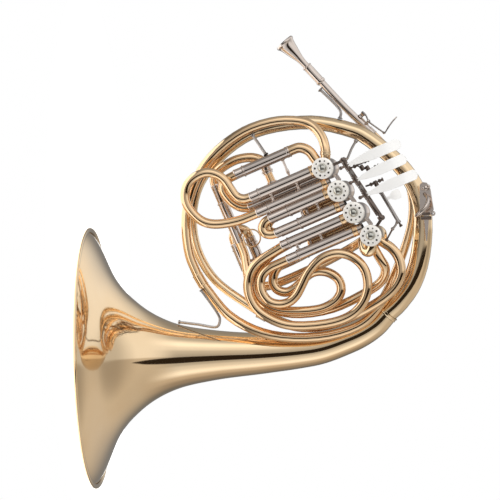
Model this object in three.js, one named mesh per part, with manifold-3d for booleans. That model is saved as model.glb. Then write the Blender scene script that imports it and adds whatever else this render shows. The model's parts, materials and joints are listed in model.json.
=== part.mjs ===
// Double french horn, standing on its bell. Millimetres, +Z up.
import * as THREE from 'three'
import { mergeVertices } from 'three/addons/utils/BufferGeometryUtils.js'
import Module from 'manifold-3d'

const wasm = await Module()
wasm.setup()
const { Manifold, Mesh: MMesh } = wasm

// ---- driving dimensions -------------------------------------------------
const BELL_X = -270           // mouth plane, measured along the bell axis
const BELL_Y = 34             // bell axis, depth
const BELL_Z = -137           // bell axis, height
const SHEET = 0.8             // sheet thickness of the flare
const WALL = 0.7              // wall of the tubing
const TUBE_R = 5.9            // main tubing
const SLIDE_R = 5.7           // slide bows
const LEG_R = 5.0             // inner slide legs
const LEG_BORE = 4.1          // bore of the slide legs
const SLEEVE_R = 6.4          // outer slide sleeves
const BORE_R = 5.74           // sleeve bore
const SMALL_R = 5.5           // small feeds at the back
const STAY_R = 1.7            // struts between sleeves
const VALVE_TILT = 21.75 * Math.PI / 180
const ROTOR_R = 11            // rotor
const CASING_R = 12.8         // valve casing, outside
const CASING_IN = 11.4        // valve casing, inside
const CASING_FRONT = -30      // front end of a casing, along its axis
const CASING_BACK = 28        // back end of a casing
const BACK_PLATE = 2.5        // plate that closes the back of a casing
const SPINDLE_R = 3.1         // rotor spindle
const SPINDLE_HOLE = 3.7      // its hole in the back plate
const WINDWAY_AT = 19.5       // centre of a windway's arc, from the rotor axis
const WINDWAY_EDGE = 0.95     // half angle of the rotor's solid side, radians
const CASING_GAP = 0.35       // gap between a casing and the tubes that meet it
const FRONT = -20             // depth of the front layer of slides
const MID = -6.5              // depth of the second layer
const BACK1 = 7               // depth of the layers behind the valves' middle
const BACK2 = 20.5
const BACK3 = 34
const SLIDE_Z = [1.5, -19, -31.2, -50.5, -67.3, -85.5]                  // slide legs, valve frame
const VALVES = [[-0.5, -1.2], [6.1, -33.9], [13.2, -65.2], [21.3, -99]] // rotor centres, valve frame
const SIDES = 8               // sides of a tube
const BORE_SIDES = 6          // sides of its bore

// ---- materials ----------------------------------------------------------
const metal = (color, roughness) => new THREE.MeshStandardMaterial({ color, metalness: 0.9, roughness })
const brass = metal(0xd9ad62, 0.25)
const nickel = metal(0xb9b0ab, 0.3)
const steel = metal(0x8f9296, 0.4)
const cork = new THREE.MeshStandardMaterial({ color: 0xa9835a, metalness: 0, roughness: 0.8 })

// ---- helpers ------------------------------------------------------------
const v3 = (x, y, z) => new THREE.Vector3(x, y, z)
const Y = v3(0, 1, 0)
const from = (p, d, t) => p.clone().addScaledVector(d, t)
// valve frame: x along the valve slides, z across them, its origin near the first valve
const V1 = v3(25.1, 0, 87.2)
const VX = v3(Math.cos(VALVE_TILT), 0, Math.sin(VALVE_TILT))
const VZ = v3(-Math.sin(VALVE_TILT), 0, Math.cos(VALVE_TILT))
const vp = (x, y, z) => from(from(from(V1, VX, x), Y, y), VZ, z)
const valveMatrix = new THREE.Matrix4().makeBasis(VX, Y, VZ).setPosition(V1)
const inValve = g => g.applyMatrix4(valveMatrix)
const pts = (list, f = v3) => list.map(p => f(p[0], p[1], p[2]))
// points of one depth in the valve frame, each given as [x, z]
const layer = (depth, list) => list.map(([x, z]) => vp(x, depth, z))

const group = new THREE.Group()
const add = (name, geo, material) => {
  const m = new THREE.Mesh(geo, material)
  m.name = name
  group.add(m)
}

// stations along a smooth curve, one per `turn` degrees of bend or `reach` mm
const route = (points, turn = 24, reach = 80) => {
  const curve = new THREE.CatmullRomCurve3(points, false, 'centripetal')
  const n = 500
  const p = curve.getSpacedPoints(n)
  const out = [p[0]]
  const dir = i => p[Math.min(i + 1, n)].clone().sub(p[Math.max(i - 1, 0)]).normalize()
  let last = dir(0)
  let bend = 0
  let run = 0
  for (let i = 1; i < n; i++) {
    const d = dir(i)
    bend += THREE.MathUtils.radToDeg(last.angleTo(d))
    run += p[i].distanceTo(p[i - 1])
    last = d
    if (bend >= turn || run >= reach) {
      out.push(p[i])
      bend = 0
      run = 0
    }
  }
  if (out[out.length - 1].distanceTo(p[n]) < 3 && out.length > 1) out.pop()
  out.push(p[n])
  return out
}

// direction of travel at each station
const tangents = st => st.map((q, i) => {
  const a = i > 0 ? q.clone().sub(st[i - 1]).normalize() : null
  const b = i < st.length - 1 ? st[i + 1].clone().sub(q).normalize() : null
  return a && b ? a.add(b).normalize() : (a || b)
})

// a direction across the path at each station, carried along without twist
const carried = tan => {
  let n = Math.abs(tan[0].y) < 0.9 ? Y : v3(1, 0, 0)
  return tan.map(t => {
    n = from(n, t, -n.dot(t)).normalize()
    return n
  })
}

// Tube through stations. `radius` is a number, or a function of (share of the length, station).
// The bore is `wall` thinner; `fixed` gives it a radius of its own; `slope` keeps the wall square to a flare.
const sweep = (st, radius, wall = WALL, sides = SIDES, bore = BORE_SIDES, slope = false, fixed = null) => {
  const last = st.length - 1
  const R = typeof radius === 'function' ? radius : () => radius
  const cum = [0]
  for (let i = 1; i <= last; i++) cum.push(cum[i - 1] + st[i].distanceTo(st[i - 1]))
  const at = k => R(cum[k] / cum[last], k)
  const tan = tangents(st)
  const across = carried(tan)
  const ring = (k, r) => [...Array(k)].map((_, i) => {
    const a = (i + 0.5) / k * Math.PI * 2
    return new THREE.Vector2(Math.cos(a) * r, Math.sin(a) * r)
  })
  const ro = at(0)
  const ri = slope ? ro * 0.99 : fixed || ro - wall
  const split = bore ? (ro + ri) / 2 : 0
  const shape = new THREE.Shape(ring(sides, ro))
  if (bore) shape.holes.push(new THREE.Path(ring(bore, ri).reverse()))
  const g = new THREE.ExtrudeGeometry(shape, { depth: 1, steps: last, bevelEnabled: false, curveSegments: 1 })
  const pos = g.attributes.position
  const w = v3(0, 0, 0)
  for (let i = 0; i < pos.count; i++) {
    w.fromBufferAttribute(pos, i)
    const k = Math.round(w.z * last)
    const a = Math.atan2(w.y, w.x)
    const outer = Math.hypot(w.x, w.y) > split
    let r = outer ? at(k) : (fixed || at(k) - wall)
    let shift = 0
    if (slope && !outer) {
      const j = Math.max(k - 1, 0)
      const l = Math.min(k + 1, last)
      const fall = (at(l) - at(j)) / (cum[l] - cum[j])
      r = at(k) - wall / Math.hypot(1, fall)
      shift = wall * fall / Math.hypot(1, fall)
    }
    const second = tan[k].clone().cross(across[k])
    w.copy(st[k]).addScaledVector(across[k], Math.cos(a) * r).addScaledVector(second, Math.sin(a) * r)
    w.addScaledVector(tan[k], shift)
    pos.setXYZ(i, w.x, w.y, w.z)
  }
  g.computeVertexNormals()
  return g
}

// closed body that can be joined and cut
const solid = geo => {
  let g = geo.index ? geo.toNonIndexed() : geo.clone()
  g.deleteAttribute('normal')
  g.deleteAttribute('uv')
  g = mergeVertices(g, 1e-4)
  const mesh = new MMesh({
    numProp: 3,
    vertProperties: Float32Array.from(g.attributes.position.array),
    triVerts: Uint32Array.from(g.index.array)
  })
  mesh.merge()
  return new Manifold(mesh)
}
// a cut can leave a sliver of no volume: keep the body itself
const shell = m => {
  const r = m.decompose().sort((a, b) => b.volume() - a.volume())[0].getMesh()
  const g = new THREE.BufferGeometry()
  g.setAttribute('position', new THREE.BufferAttribute(Float32Array.from(r.vertProperties), 3))
  g.setIndex(new THREE.BufferAttribute(Uint32Array.from(r.triVerts), 1))
  const flat = g.toNonIndexed()
  flat.computeVertexNormals()
  return flat
}
const join = geos => geos.map(solid).reduce((a, b) => a.add(b))

// round rod between two points
const rod = (a, b, r, sides = SIDES) => sweep([a, b], r, 0, sides, 0)
// bent rod along a list of stations
const wire = (st, r, sides = SIDES) => sweep(st, r, 0, sides, 0)
// tube between two points
const pipe = (a, b, ro, ri, sides = SIDES, bore = SIDES) => sweep([a, b], ro, 0, sides, bore, false, ri)
// turned part: profile of [radius, along] placed with its axis from `at` along `dir`
const turned = (profile, at, dir, seg = 16) => {
  const g = new THREE.LatheGeometry(profile.map(p => new THREE.Vector2(p[0], p[1])), seg)
  g.applyQuaternion(new THREE.Quaternion().setFromUnitVectors(Y, dir.clone().normalize()))
  return g.translate(at.x, at.y, at.z)
}
// flat plate from an outline in the x-z plane, thickness along y
const plate = (outline, y0, y1) => {
  const s = new THREE.Shape(outline.map(p => new THREE.Vector2(p[0], p[1])))
  const g = new THREE.ExtrudeGeometry(s, { depth: Math.abs(y1 - y0), bevelEnabled: false, curveSegments: 4 })
  return g.rotateX(Math.PI / 2).translate(0, Math.max(y0, y1), 0)
}
const box = (x0, x1, y0, y1, z0, z1) => new THREE.BoxGeometry(x1 - x0, y1 - y0, z1 - z0)
  .translate((x0 + x1) / 2, (y0 + y1) / 2, (z0 + z1) / 2)
// space of a valve, its cap included, taken out of the tubes that meet it
const casingCut = i => {
  const c = vp(VALVES[i][0], 0, VALVES[i][1])
  const r = CASING_R + CASING_GAP
  return solid(turned([[0, -31], [r, -31], [r, 39], [0, 39]], c, Y))
}
const cutAll = (m, list) => list.reduce((a, i) => a.subtract(casingCut(i)), m)

// ---- bell ---------------------------------------------------------------
// [distance from the mouth, radius]; the neck rises gently from the last third on
const RISE_FROM = 123
const RISE = 0.01
const MOUTH_GAP = 0.6         // the sheet starts just behind the middle of the rim bead
const flare = [[0, 153.4], [5, 146.5], [11, 135], [18, 119], [26, 102], [38, 84.5], [54, 68.4], [74, 53.5],
  [104, 39.6], [150, 30.4], [207, 24.8]]
const tail = pts([[-17, 34, -134], [8, 34, -131], [33, 34, -124], [57, 33, -115], [76, 32, -104],
  [89.5, 31, -91.5]])
const tailR = [21.4, 20, 18.6, 17.3, 15.8, 14.4]
const neckZ = x => BELL_Z + Math.max(0, x - RISE_FROM) * RISE
const bellStations = flare.map(([x]) => v3(BELL_X - MOUTH_GAP + x, BELL_Y, neckZ(x))).concat(tail)
const bellR = flare.map(p => p[1]).concat(tailR)
add('bell', sweep(bellStations, (s, k) => bellR[k], SHEET, 24, 24, true), brass)
add('bell_rim', turned([[154.2, -1.9], [157.6, -1.9], [158.8, 0.4], [156.6, 2.4], [154.2, 1.2], [154.2, -1.9]],
  v3(BELL_X, BELL_Y, BELL_Z), v3(1, 0, 0), 36), brass)

// ---- bell branch and the feed from the fourth valve --------------------
const branchPts = pts([[-60, 20.5, -88], [-87, 23, -71], [-109, 27, -54], [-126.5, 31, -34], [-138, 34, -11],
  [-144, 34, 13], [-143, 34, 46], [-134, 34, 73], [-117, 34, 96], [-96, 34, 115], [-71, 34, 130],
  [-46, 33, 138], [-21, 32, 141], [10, 31, 142], [46, 30, 134], [65, 30, 127], [84, 30, 113], [101, 30, 99],
  [114, 30, 85], [126, 30, 68], [134, 30, 49], [138, 30, 29], [138, 30, 9], [135, 30, -16], [129, 30, -40],
  [120, 30, -59], [108, 30.5, -75], [91.5, 31, -89.6]])
// the branch widens steadily from the feed to the bell
const BRANCH_R0 = 5.6
const BRANCH_R1 = 13.8
const branchR = s => BRANCH_R0 + (BRANCH_R1 - BRANCH_R0) * Math.pow(s, 1.35)
add('bell_branch', sweep(route(branchPts, 17), branchR, WALL, 10, 8), brass)
const feed4 = pts([[90, -6.5, -3], [103, -6.5, -12], [110, -6.5, -21], [114, -6.5, -33], [114, -6.5, -44],
  [109, -6.5, -56], [100, -6.5, -67], [86, -6, -77], [68, -5, -86], [49, -2, -95], [24, 4, -103], [-7, 11, -106],
  [-36, 18, -99], [-57.6, 20.5, -89.4]])
add('feed_fourth', shell(cutAll(solid(sweep(route(feed4), TUBE_R, WALL)), [3])), brass)
const ferrule = (name, a, b, ri, ro) => {
  const d = b.clone().sub(a)
  const L = d.length()
  add(name, turned([[ri, 0], [ro, 0], [ro, L], [ri, L], [ri, 0]], a, d), nickel)
}

// ---- leadpipe: receiver, round the right, along the bottom -------------
const lead = pts([[-132, 7, -47], [-119, 7, -68], [-97, 6, -90], [-71, 4, -106], [-43, 3, -115], [-13, 3, -119],
  [18, 3, -117], [49, 5, -110], [70, 7, -98], [84, 10, -82], [94, 19, -64], [103, 30, -42], [111, 39, -20],
  [118, 45, 2], [123, 48, 25], [123, 48, 50], [115, 48, 78], [98, 47, 104], [77, 44, 126], [58, 42, 145],
  [36, 42, 169.5], [11, 42, 197.5]])
// it narrows from the main tubing towards the receiver
const LEAD_TIP_R = 4.4
const leadR = s => TUBE_R - (TUBE_R - LEAD_TIP_R) * Math.min(1, Math.max(0, (s - 0.35) / 0.5))
add('leadpipe', sweep(route(lead), leadR, WALL), brass)
const feed1 = pts([[25.8, -6.5, 99.4], [26, -6.5, 108], [21, 0, 124], [10, 6, 137], [-6, 7, 144], [-30, 7, 145],
  [-55, 7, 141], [-79, 7, 131], [-104, 7, 113], [-124, 7, 93], [-138, 7, 66], [-147, 7, 38], [-148, 7, 9],
  [-144, 7, -18], [-133.2, 7, -44.4]])
add('feed_first', sweep(route(feed1), TUBE_R, WALL), brass)

// ---- receiver and mouthpiece -------------------------------------------
const mpDir = v3(25, 0, -28).normalize()       // towards the horn
const REC_HALF = 14                            // half the receiver's length
const MP_SHOWN = 39.4                          // how far the mouthpiece stands out of it
const recTop = from(v3(11, 42, 197.5), mpDir, -4)
add('receiver', turned([[4.6, -REC_HALF], [5.9, -REC_HALF], [5.9, -10], [5.3, -9], [5.3, 10], [5.8, 11],
  [5.8, REC_HALF], [4.9, REC_HALF], [4.9, 1.5], [4.2, 1.0], [4.6, -REC_HALF]], recTop, mpDir, 12), nickel)
const mpTop = from(recTop, mpDir, -REC_HALF - MP_SHOWN)
add('mouthpiece', turned([[8.7, 0], [11.2, -0.6], [12.2, 0.6], [12.2, 2.2], [10.6, 3.6], [8.2, 14], [6.2, 21.5],
  [4.5, 27.5], [3.6, 46], [3.4, 52.5], [2.6, 52.5], [2.4, 28], [4.6, 19], [7.4, 7], [8.7, 0]],
mpTop, mpDir), nickel)

// ---- valves -------------------------------------------------------------
const CAP_FACE = CASING_FRONT - 0.4
// rotor section: a disc with a windway cut into each flank
const rotorShape = () => {
  const edge = WINDWAY_EDGE
  const ex = ROTOR_R * Math.cos(edge)
  const ez = WINDWAY_AT - ROTOR_R * Math.sin(edge)
  const q = Math.hypot(ex, ez)
  const b = Math.atan2(ez, ex)
  const s = new THREE.Shape()
  s.absarc(0, 0, ROTOR_R, -edge, edge, false)
  s.absarc(0, WINDWAY_AT, q, -b, -Math.PI + b, true)
  s.absarc(0, 0, ROTOR_R, Math.PI - edge, Math.PI + edge, false)
  s.absarc(0, -WINDWAY_AT, q, Math.PI - b, b, true)
  return s
}
VALVES.forEach(([x, z], i) => {
  const c = vp(x, 0, z)
  const n = i + 1
  const inner = CASING_BACK - BACK_PLATE
  add(`casing_${n}`, turned([[CASING_IN, CASING_FRONT], [CASING_R, CASING_FRONT], [CASING_R, CASING_BACK],
    [SPINDLE_HOLE, CASING_BACK], [SPINDLE_HOLE, inner], [CASING_IN, inner], [CASING_IN, CASING_FRONT]], c, Y),
  i === 3 ? brass : nickel)
  add(`cap_${n}`, turned([[0, -38.8], [4.2, -37.8], [6.4, -34.4], [12.2, -34.4], [13.2, -33.2], [13.2, CAP_FACE],
    [0, CAP_FACE]], c, Y), nickel)
  const body = new THREE.ExtrudeGeometry(rotorShape(), { depth: 54.6, bevelEnabled: false, curveSegments: 4 })
  body.rotateX(-Math.PI / 2).translate(0, -29.6, 0)
  const stem = turned([[0, 24.5], [SPINDLE_R, 24.5], [SPINDLE_R, 34.5], [0, 34.5]], v3(0, 0, 0), Y, 8)
  const arm = plate([[-3.4, -3.4], [3.4, -3.4], [3.0, 9], [1.6, 12], [-1.6, 12], [-3.0, 9]], 29, 31.6)
  const rotor = inValve(shell(join([body, stem, arm])))
  add(`rotor_${n}`, rotor.translate(c.x - V1.x, 0, c.z - V1.z), steel)
})

// ---- slide sleeves ------------------------------------------------------
const sleeve = (x0, x1, y, z) => pipe(vp(x0, y, z), vp(x1, y, z), SLEEVE_R, BORE_R)
const FOOT = SLEEVE_R - 0.8     // a strut ends inside the sleeve's wall
const stay = (x, y, z0, z1) => rod(vp(x, y, z0), vp(x, y, z1), STAY_R, 6)
// two sleeves on one pair of slide legs, joined by a strut
const sleevePair = (name, zs, y, mouths, ends, valves, stayX) => {
  const parts = zs.map((z, k) => sleeve(mouths[k], ends[k], y, z))
  parts.push(stay(stayX, y, zs[0] - FOOT, zs[1] + FOOT))
  add(name, shell(cutAll(join(parts), valves)), nickel)
}
const LEGS_1 = [SLIDE_Z[0], SLIDE_Z[1]]
const LEGS_2 = [SLIDE_Z[2], SLIDE_Z[3]]
const LEGS_3 = [SLIDE_Z[4], SLIDE_Z[5]]
sleevePair('sleeves_f1', LEGS_1, FRONT, [-86, -82], [-10, -1], [0, 1], -76)
sleevePair('sleeves_f2', LEGS_2, FRONT, [-61, -55], [-3, 5], [1, 2], -50)
sleevePair('sleeves_f3', LEGS_3, FRONT, [-76, -71], [3, 13], [2, 3], -66)
sleevePair('sleeves_b2', LEGS_2, MID, [-61, -55], [-3, 5], [1, 2], -42)
sleevePair('sleeves_b3', LEGS_3, MID, [-66, -62], [3, 13], [2, 3], -46)
// the first B flat slide's upper sleeve turns down into the first valve
const LEGS_B1 = [35, -8]
const b1top = layer(MID, [[-94, LEGS_B1[0]], [-36, LEGS_B1[0]], [-28, 35.5], [-20, 34.5], [-13.5, 30], [-9.6, 24],
  [-7.4, 15], [-6, 10]])
add('sleeves_b1', shell(cutAll(join([sweep(b1top, SLEEVE_R, 0, SIDES, SIDES, false, BORE_R),
  sleeve(-74, -8, MID, LEGS_B1[1]), stay(-58, MID, 29.2, -2.2)]), [0])), nickel)

// ---- moving valve slides ------------------------------------------------
const FERRULE = 7.2             // straight length in the ferrule between a leg and the bow
// radius along a slide: thin legs at both ends, the bow between them
const slideR = count => (s, k) => (k < 2 || k > count - 3) ? LEG_R : SLIDE_R
const slideTube = st => sweep(st, slideR(st.length), WALL, SIDES, BORE_SIDES, false, LEG_BORE)
// legs run along the valve frame's x axis from xin to xout, then the bow
const slide = (name, bow, zs, y, xin, xout) => {
  const curve = layer(y, [[xout + 6, zs[0]], [xout + 1, zs[0]], ...bow, [xout + 1, zs[1]], [xout + 6, zs[1]]])
  const head = layer(y, [[xin, zs[0]], [xout + FERRULE, zs[0]]])
  const foot = layer(y, [[xout + FERRULE, zs[1]], [xin, zs[1]]])
  add(name, slideTube([...head, ...route(curve), ...foot]), brass)
}
slide('slide_f1', [[-99, 1.7], [-106, 4], [-112, 10], [-115, 22], [-118, 35], [-124, 44], [-133, 50], [-145, 51.5],
  [-158, 48], [-167, 39], [-171, 27], [-169, 13], [-162, -1], [-149, -11], [-134, -16], [-118, -18.5],
  [-104, -19]], LEGS_1, FRONT, -46, -96)
slide('slide_f2', [[-91, -32.5], [-96.6, -36.5], [-98.2, -41], [-96.6, -45.6], [-91, -49.3]],
  LEGS_2, FRONT, -30, -85)
slide('slide_f3', [[-90, -67.6], [-104, -69.6], [-119, -74], [-132, -81.5], [-141, -94], [-145, -110],
  [-142, -127], [-132, -142], [-118, -156], [-96, -167], [-67, -176], [-41, -177.5], [-25, -172], [-13, -162],
  [-6, -150], [-3, -133], [-8, -117], [-19, -105.5], [-33, -100.2], [-52, -101.5], [-66, -108.5],
  [-79, -118.5], [-90, -128], [-101, -132.6], [-113, -131.6], [-124, -124], [-128.6, -112], [-127, -100],
  [-120, -90.5], [-108, -86], [-92, -85.5]], LEGS_3, FRONT, -42, -84)
slide('slide_b2', [[-86, -32.5], [-91.6, -36.5], [-93.2, -41], [-91.6, -45.6], [-86, -49.3]],
  LEGS_2, MID, -30, -80)
slide('slide_b3', [[-88, -67.8], [-100, -70.5], [-118, -79], [-131, -89], [-137, -101], [-136, -117],
  [-124, -133], [-102, -146], [-83, -153], [-64, -155.5], [-49, -152], [-40, -143], [-38.6, -131], [-45, -120],
  [-55, -113], [-66, -111], [-80, -115], [-93, -120], [-103, -120], [-111, -114], [-113.6, -105], [-108, -94],
  [-97, -87], [-86, -85.5]], LEGS_3, MID, -42, -78)
slide('slide_b1', [[-113, 34.4], [-120, 32], [-124.6, 26], [-125, 18], [-120.5, 5], [-113, -4], [-107.5, -6.8]],
  LEGS_B1, MID, -46, -104)

// ---- rear tuning slides (legs run across the valve slides) --------------
const TUNING_X = [-135, -70]
const SMALL_X = [-142, -123]
const upright = (x, y, z0, z1) => pipe(vp(x, y, z0), vp(x, y, z1), SLEEVE_R, BORE_R)
add('sleeve_tuning_left', upright(TUNING_X[0], BACK2, -40, 12), nickel)
const elbow = layer(BACK2, [[-70, -8], [-70, -9.5], [-67.6, -16], [-61, -20.4], [-52, -22], [-30, -22.4],
  [-14, -25], [-2, -28]])
const rightRoute = [vp(TUNING_X[1], BACK2, 26), vp(TUNING_X[1], BACK2, -7.5), ...route(elbow).slice(1)]
const rightTube = sweep(rightRoute, SLEEVE_R, 0, SIDES, SIDES, false, BORE_R)
add('sleeve_tuning_right', shell(cutAll(solid(rightTube), [0, 1])), nickel)
// stations of a slide whose legs run across; each leg has its own inner end
const crossSlide = ([x0, x1], y, inner, zout, bow) => {
  const curve = layer(y, [[x0, zout - 6], [x0, zout - 1], ...bow, [x1, zout - 1], [x1, zout - 6]])
  const head = layer(y, [[x0, inner[0]], [x0, zout - FERRULE]])
  const foot = layer(y, [[x1, zout - FERRULE], [x1, inner[1]]])
  return [...head, ...route(curve), ...foot]
}
add('slide_tuning', slideTube(crossSlide(TUNING_X, BACK2, [-26, -6], 34, [[-133.4, 41], [-127, 47.6], [-112, 52],
  [-94, 52], [-79, 46.6], [-71.6, 40]])), brass)
const feedTuning = [...layer(MID, [[16, -112.6], [16.4, -120], [18, -128]]), vp(19, -3, -140), vp(12, 3, -150),
  ...layer(BACK1, [[1, -155], [-12, -158], [-30, -159.5], [-50, -160], [-70, -158.6], [-90, -153], [-108, -146],
    [-126, -134], [-139, -118], [-143, -101]]), vp(-141, 9, -86), vp(-137, 14, -70), vp(-135, 18.6, -56),
  ...layer(BACK2, [[-135, -48], [-135, -41]])]
add('feed_tuning', sweep(route(feedTuning), SLIDE_R, WALL), brass)
add('sleeves_small', shell(join([...SMALL_X.map(x => upright(x, BACK3, -74, -46)),
  rod(vp(SMALL_X[0] + FOOT, BACK3, -66), vp(SMALL_X[1] - FOOT, BACK3, -66), STAY_R, 6)])), nickel)
// the small slide has a pull ring on a stem
const PULL_R = 10.3
const PULL_DEPTH = 21.6
const pull = new THREE.TorusGeometry(PULL_R, 0.9, 5, 18)
pull.rotateX(Math.PI / 2).translate(-118, BACK3 - PULL_DEPTH, -42.4)
add('slide_small', shell(join([
  slideTube(crossSlide(SMALL_X, BACK3, [-70, -70], -34, [[-141, -31], [-137.4, -27], [-132.5, -25.4],
    [-127.6, -27], [-124, -31]])),
  rod(vp(-122.6, BACK3 - PULL_DEPTH - 0.8, -32.8), vp(-122.6, BACK3 - 4.4, -32.8), 1.4, 6),
  inValve(pull)])), brass)
const feedSmall = (name, x, list, valve) => {
  const start = layer(BACK3, [[x, -75]])
  add(name, shell(cutAll(solid(sweep(route([...start, ...list]), SMALL_R, WALL)), [valve])), brass)
}
feedSmall('feed_small_a', SMALL_X[0], [...layer(BACK3, [[-141.5, -84], [-137, -95], [-127, -102], [-113, -104],
  [-80, -104], [-40, -103]]), vp(-12, 30, -100), ...layer(BACK2, [[4, -98], [10, -97.6]])], 3)
feedSmall('feed_small_b', SMALL_X[1], [...layer(BACK3, [[-121, -80], [-115, -85], [-106, -86], [-80, -86],
  [-50, -82]]), vp(-30, 30, -73), vp(-14, 23, -66), vp(2, BACK2, -63.8)], 2)

// ---- ferrules -----------------------------------------------------------
ferrule('bell_ferrule', v3(86.6, 31.1, -93.9), v3(94.8, 31, -86.6), 15.5, 16.5)
ferrule('branch_ferrule', v3(-64, 20.9, -85.6), v3(-53.8, 20.1, -91.4), 7.1, 7.8)

// ---- finger levers ------------------------------------------------------
const AXLE_Y = -40              // depth of the lever axle
const AXLE_R = 1.7
const HUB_BORE = 2.1
const HUB_R = 3.4
const HUB_HALF = 5.5            // half a lever hub's length
const AXLE_X0 = 27              // the axle runs from here ...
const AXLE_DX = 15              // ... by this much, in the valve frame
const AXLE_Z0 = -2
const AXLE_Z1 = -84
const axleX = z => AXLE_X0 + AXLE_DX * (AXLE_Z0 - z) / (AXLE_Z0 - AXLE_Z1)
const onAxle = z => vp(axleX(z), AXLE_Y, z)
const A0 = onAxle(AXLE_Z0)
const A1 = onAxle(AXLE_Z1)
const axleDir = A1.clone().sub(A0).normalize()
const span = (c, half) => [from(c, axleDir, -half), from(c, axleDir, half)]
// lever plate from (x0, z0) to (x1, z1): half width and forward rise are functions of the share of its length
const LEVER_T = 1.6
const arm = (x0, z0, x1, z1, half, rise) => {
  const g = new THREE.BoxGeometry(1, 1, 1, 9, 1, 1)
  const p = g.attributes.position
  for (let i = 0; i < p.count; i++) {
    const s = p.getX(i) + 0.5
    const x = x0 + (x1 - x0) * s
    const z = z0 + (z1 - z0) * s + p.getZ(i) * 2 * half(s)
    p.setXYZ(i, x, AXLE_Y - rise(s) + p.getY(i) * LEVER_T, z)
  }
  return g
}
const paddle = s => s < 0.4 ? 1.6 : s > 0.98 ? 4.6 : 1.6 + 4.6 * Math.min(1, (s - 0.4) / 0.32)
const curve = s => 1.5 + 11 * Math.sin(Math.min(1, s * 1.15) * Math.PI / 2) - 10 * Math.max(0, s - 0.75)
// [place on the axle, tip x, tip z]
const LEVERS = [[-10, 101, -11], [-31, 100, -30.5], [-52, 105, -53]]
LEVERS.forEach(([z, xt, zt], i) => {
  const h = onAxle(z)
  const x0 = axleX(z)
  const plateBody = inValve(arm(x0 + 1, z, xt, zt, paddle, curve))
  const tail = rod(vp(x0 - 2, AXLE_Y + 1, z), vp(x0 - 8, AXLE_Y + 4, z), 1.5, 6)
  const hub = pipe(...span(h, HUB_HALF), HUB_R, HUB_BORE)
  add(`lever_${i + 1}`, shell(join([plateBody, tail, hub]).subtract(solid(rod(...span(h, 8), HUB_BORE)))), nickel)
})
add('lever_axle', rod(from(A0, axleDir, -3), from(A1, axleDir, 3), AXLE_R), steel)
// rack: a bearing and a post at each end of the axle, tied to the first and fourth casings
const RACK_Y = -23
const RACK_R = 1.8
const rack = [A0, A1].flatMap(p => [
  pipe(...span(p, 2), 3.2, HUB_BORE),
  rod(p.clone().setY(AXLE_Y + 2.6), p.clone().setY(RACK_Y + 1), 2)])
const [foot0, foot1] = [A0, A1].map(p => p.clone().setY(RACK_Y))
rack.push(rod(foot0, foot1, RACK_R), rod(foot0, vp(10, RACK_Y, -2), RACK_R), rod(foot1, vp(30, RACK_Y, -92), RACK_R))
const axleBore = solid(rod(from(A0, axleDir, -6), from(A1, axleDir, 6), HUB_BORE))
add('lever_bracket', shell(cutAll(join(rack), [0, 3]).subtract(axleBore)), nickel)
// return springs wound round the axle
const SPRING_TURNS = 3
const SPRING_STEPS = 7
const SPRING_R = 2.9
const spring = z => {
  const n = SPRING_TURNS * SPRING_STEPS
  return [...Array(n + 1)].map((_, k) => {
    const a = k / SPRING_STEPS * Math.PI * 2
    const c = from(onAxle(z), axleDir, -3 + 6 * k / n)
    return c.add(vp(Math.cos(a) * SPRING_R, Math.sin(a) * SPRING_R, 0)).sub(V1)
  })
}
;[-20.5, -41.5].forEach((z, i) => add(`lever_spring_${i + 1}`, wire(spring(z), 0.4, 4), steel))

// ---- thumb lever --------------------------------------------------------
const THUMB_BORE = 1.7
const T0 = vp(52, -20, -54)
const T1 = vp(58, -20, -98)
const tDir = T1.clone().sub(T0).normalize()
add('thumb_axle', rod(from(T0, tDir, -5), from(T1, tDir, 5), 1.3), steel)
add('thumb_lever', shell(join([pipe(T0, T1, 2.6, THUMB_BORE), inValve(box(58, 74, -21, -19.4, -72, -58)),
  inValve(box(53.5, 60, -21, -19.4, -67, -63)), rod(vp(55.6, -18.5, -92), vp(47, -13, -101), 1.3, 6)])
  .subtract(solid(rod(from(T0, tDir, -1), from(T1, tDir, 1), THUMB_BORE)))), nickel)

// ---- water key ----------------------------------------------------------
// its frame: t along the leadpipe, n away from it, y in depth
const K0 = v3(59, 42, 144)
const kT = v3(0.665, 0, -0.747)
const kN = v3(0.747, 0, 0.665)
const kp = (t, n, y = 0) => from(from(from(K0, kT, t), kN, n), Y, y)
const KEY_AT = 11               // place of the key's hinge along the leadpipe
const KEY_N = 9.3               // its height
const LUG_Y = 4.4               // depth of its two lugs
const acrossKey = (half, n, r) => rod(kp(KEY_AT, n, -half), kp(KEY_AT, n, half), r, 6)
const lugs = [-LUG_Y, LUG_Y].map(y => rod(kp(KEY_AT, 5.9, y), kp(KEY_AT, 10, y), 1.3, 6))
add('water_key_saddle', shell(join([pipe(kp(0, 5.5), kp(0, 8.6), 2.6, 1.4), rod(kp(-3, 6.2), kp(14, 6.2), 0.9, 6),
  ...lugs, acrossKey(LUG_Y, 6.2, 0.9), acrossKey(LUG_Y, KEY_N, 0.6)])
  .subtract(solid(rod(kp(0, 5), kp(0, 9), 1.4)))), nickel)
const touch = box(0, 20, -3.2, 3.2, -0.7, 0.7).rotateY(-0.5).translate(98, 38, 131.4)
add('water_key', shell(join([pipe(kp(KEY_AT, KEY_N, -2.6), kp(KEY_AT, KEY_N, 2.6), 1.8, 0.9, SIDES, 6),
  rod(kp(9.6, 9.8), kp(0, 12.2), 1.1, 6), rod(kp(0, 10.2), kp(0, 12.6), 3.0),
  rod(kp(12.4, 9.0), v3(92, 39, 128), 1.2, 6), rod(v3(91.3, 39, 127.4), v3(99, 38, 132.6), 1.2, 6), touch])
  .subtract(solid(acrossKey(4, KEY_N, 0.9)))), nickel)
add('water_key_cork', rod(kp(0, 8.8), kp(0, 10.0), 2.6, 10), cork)

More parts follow.
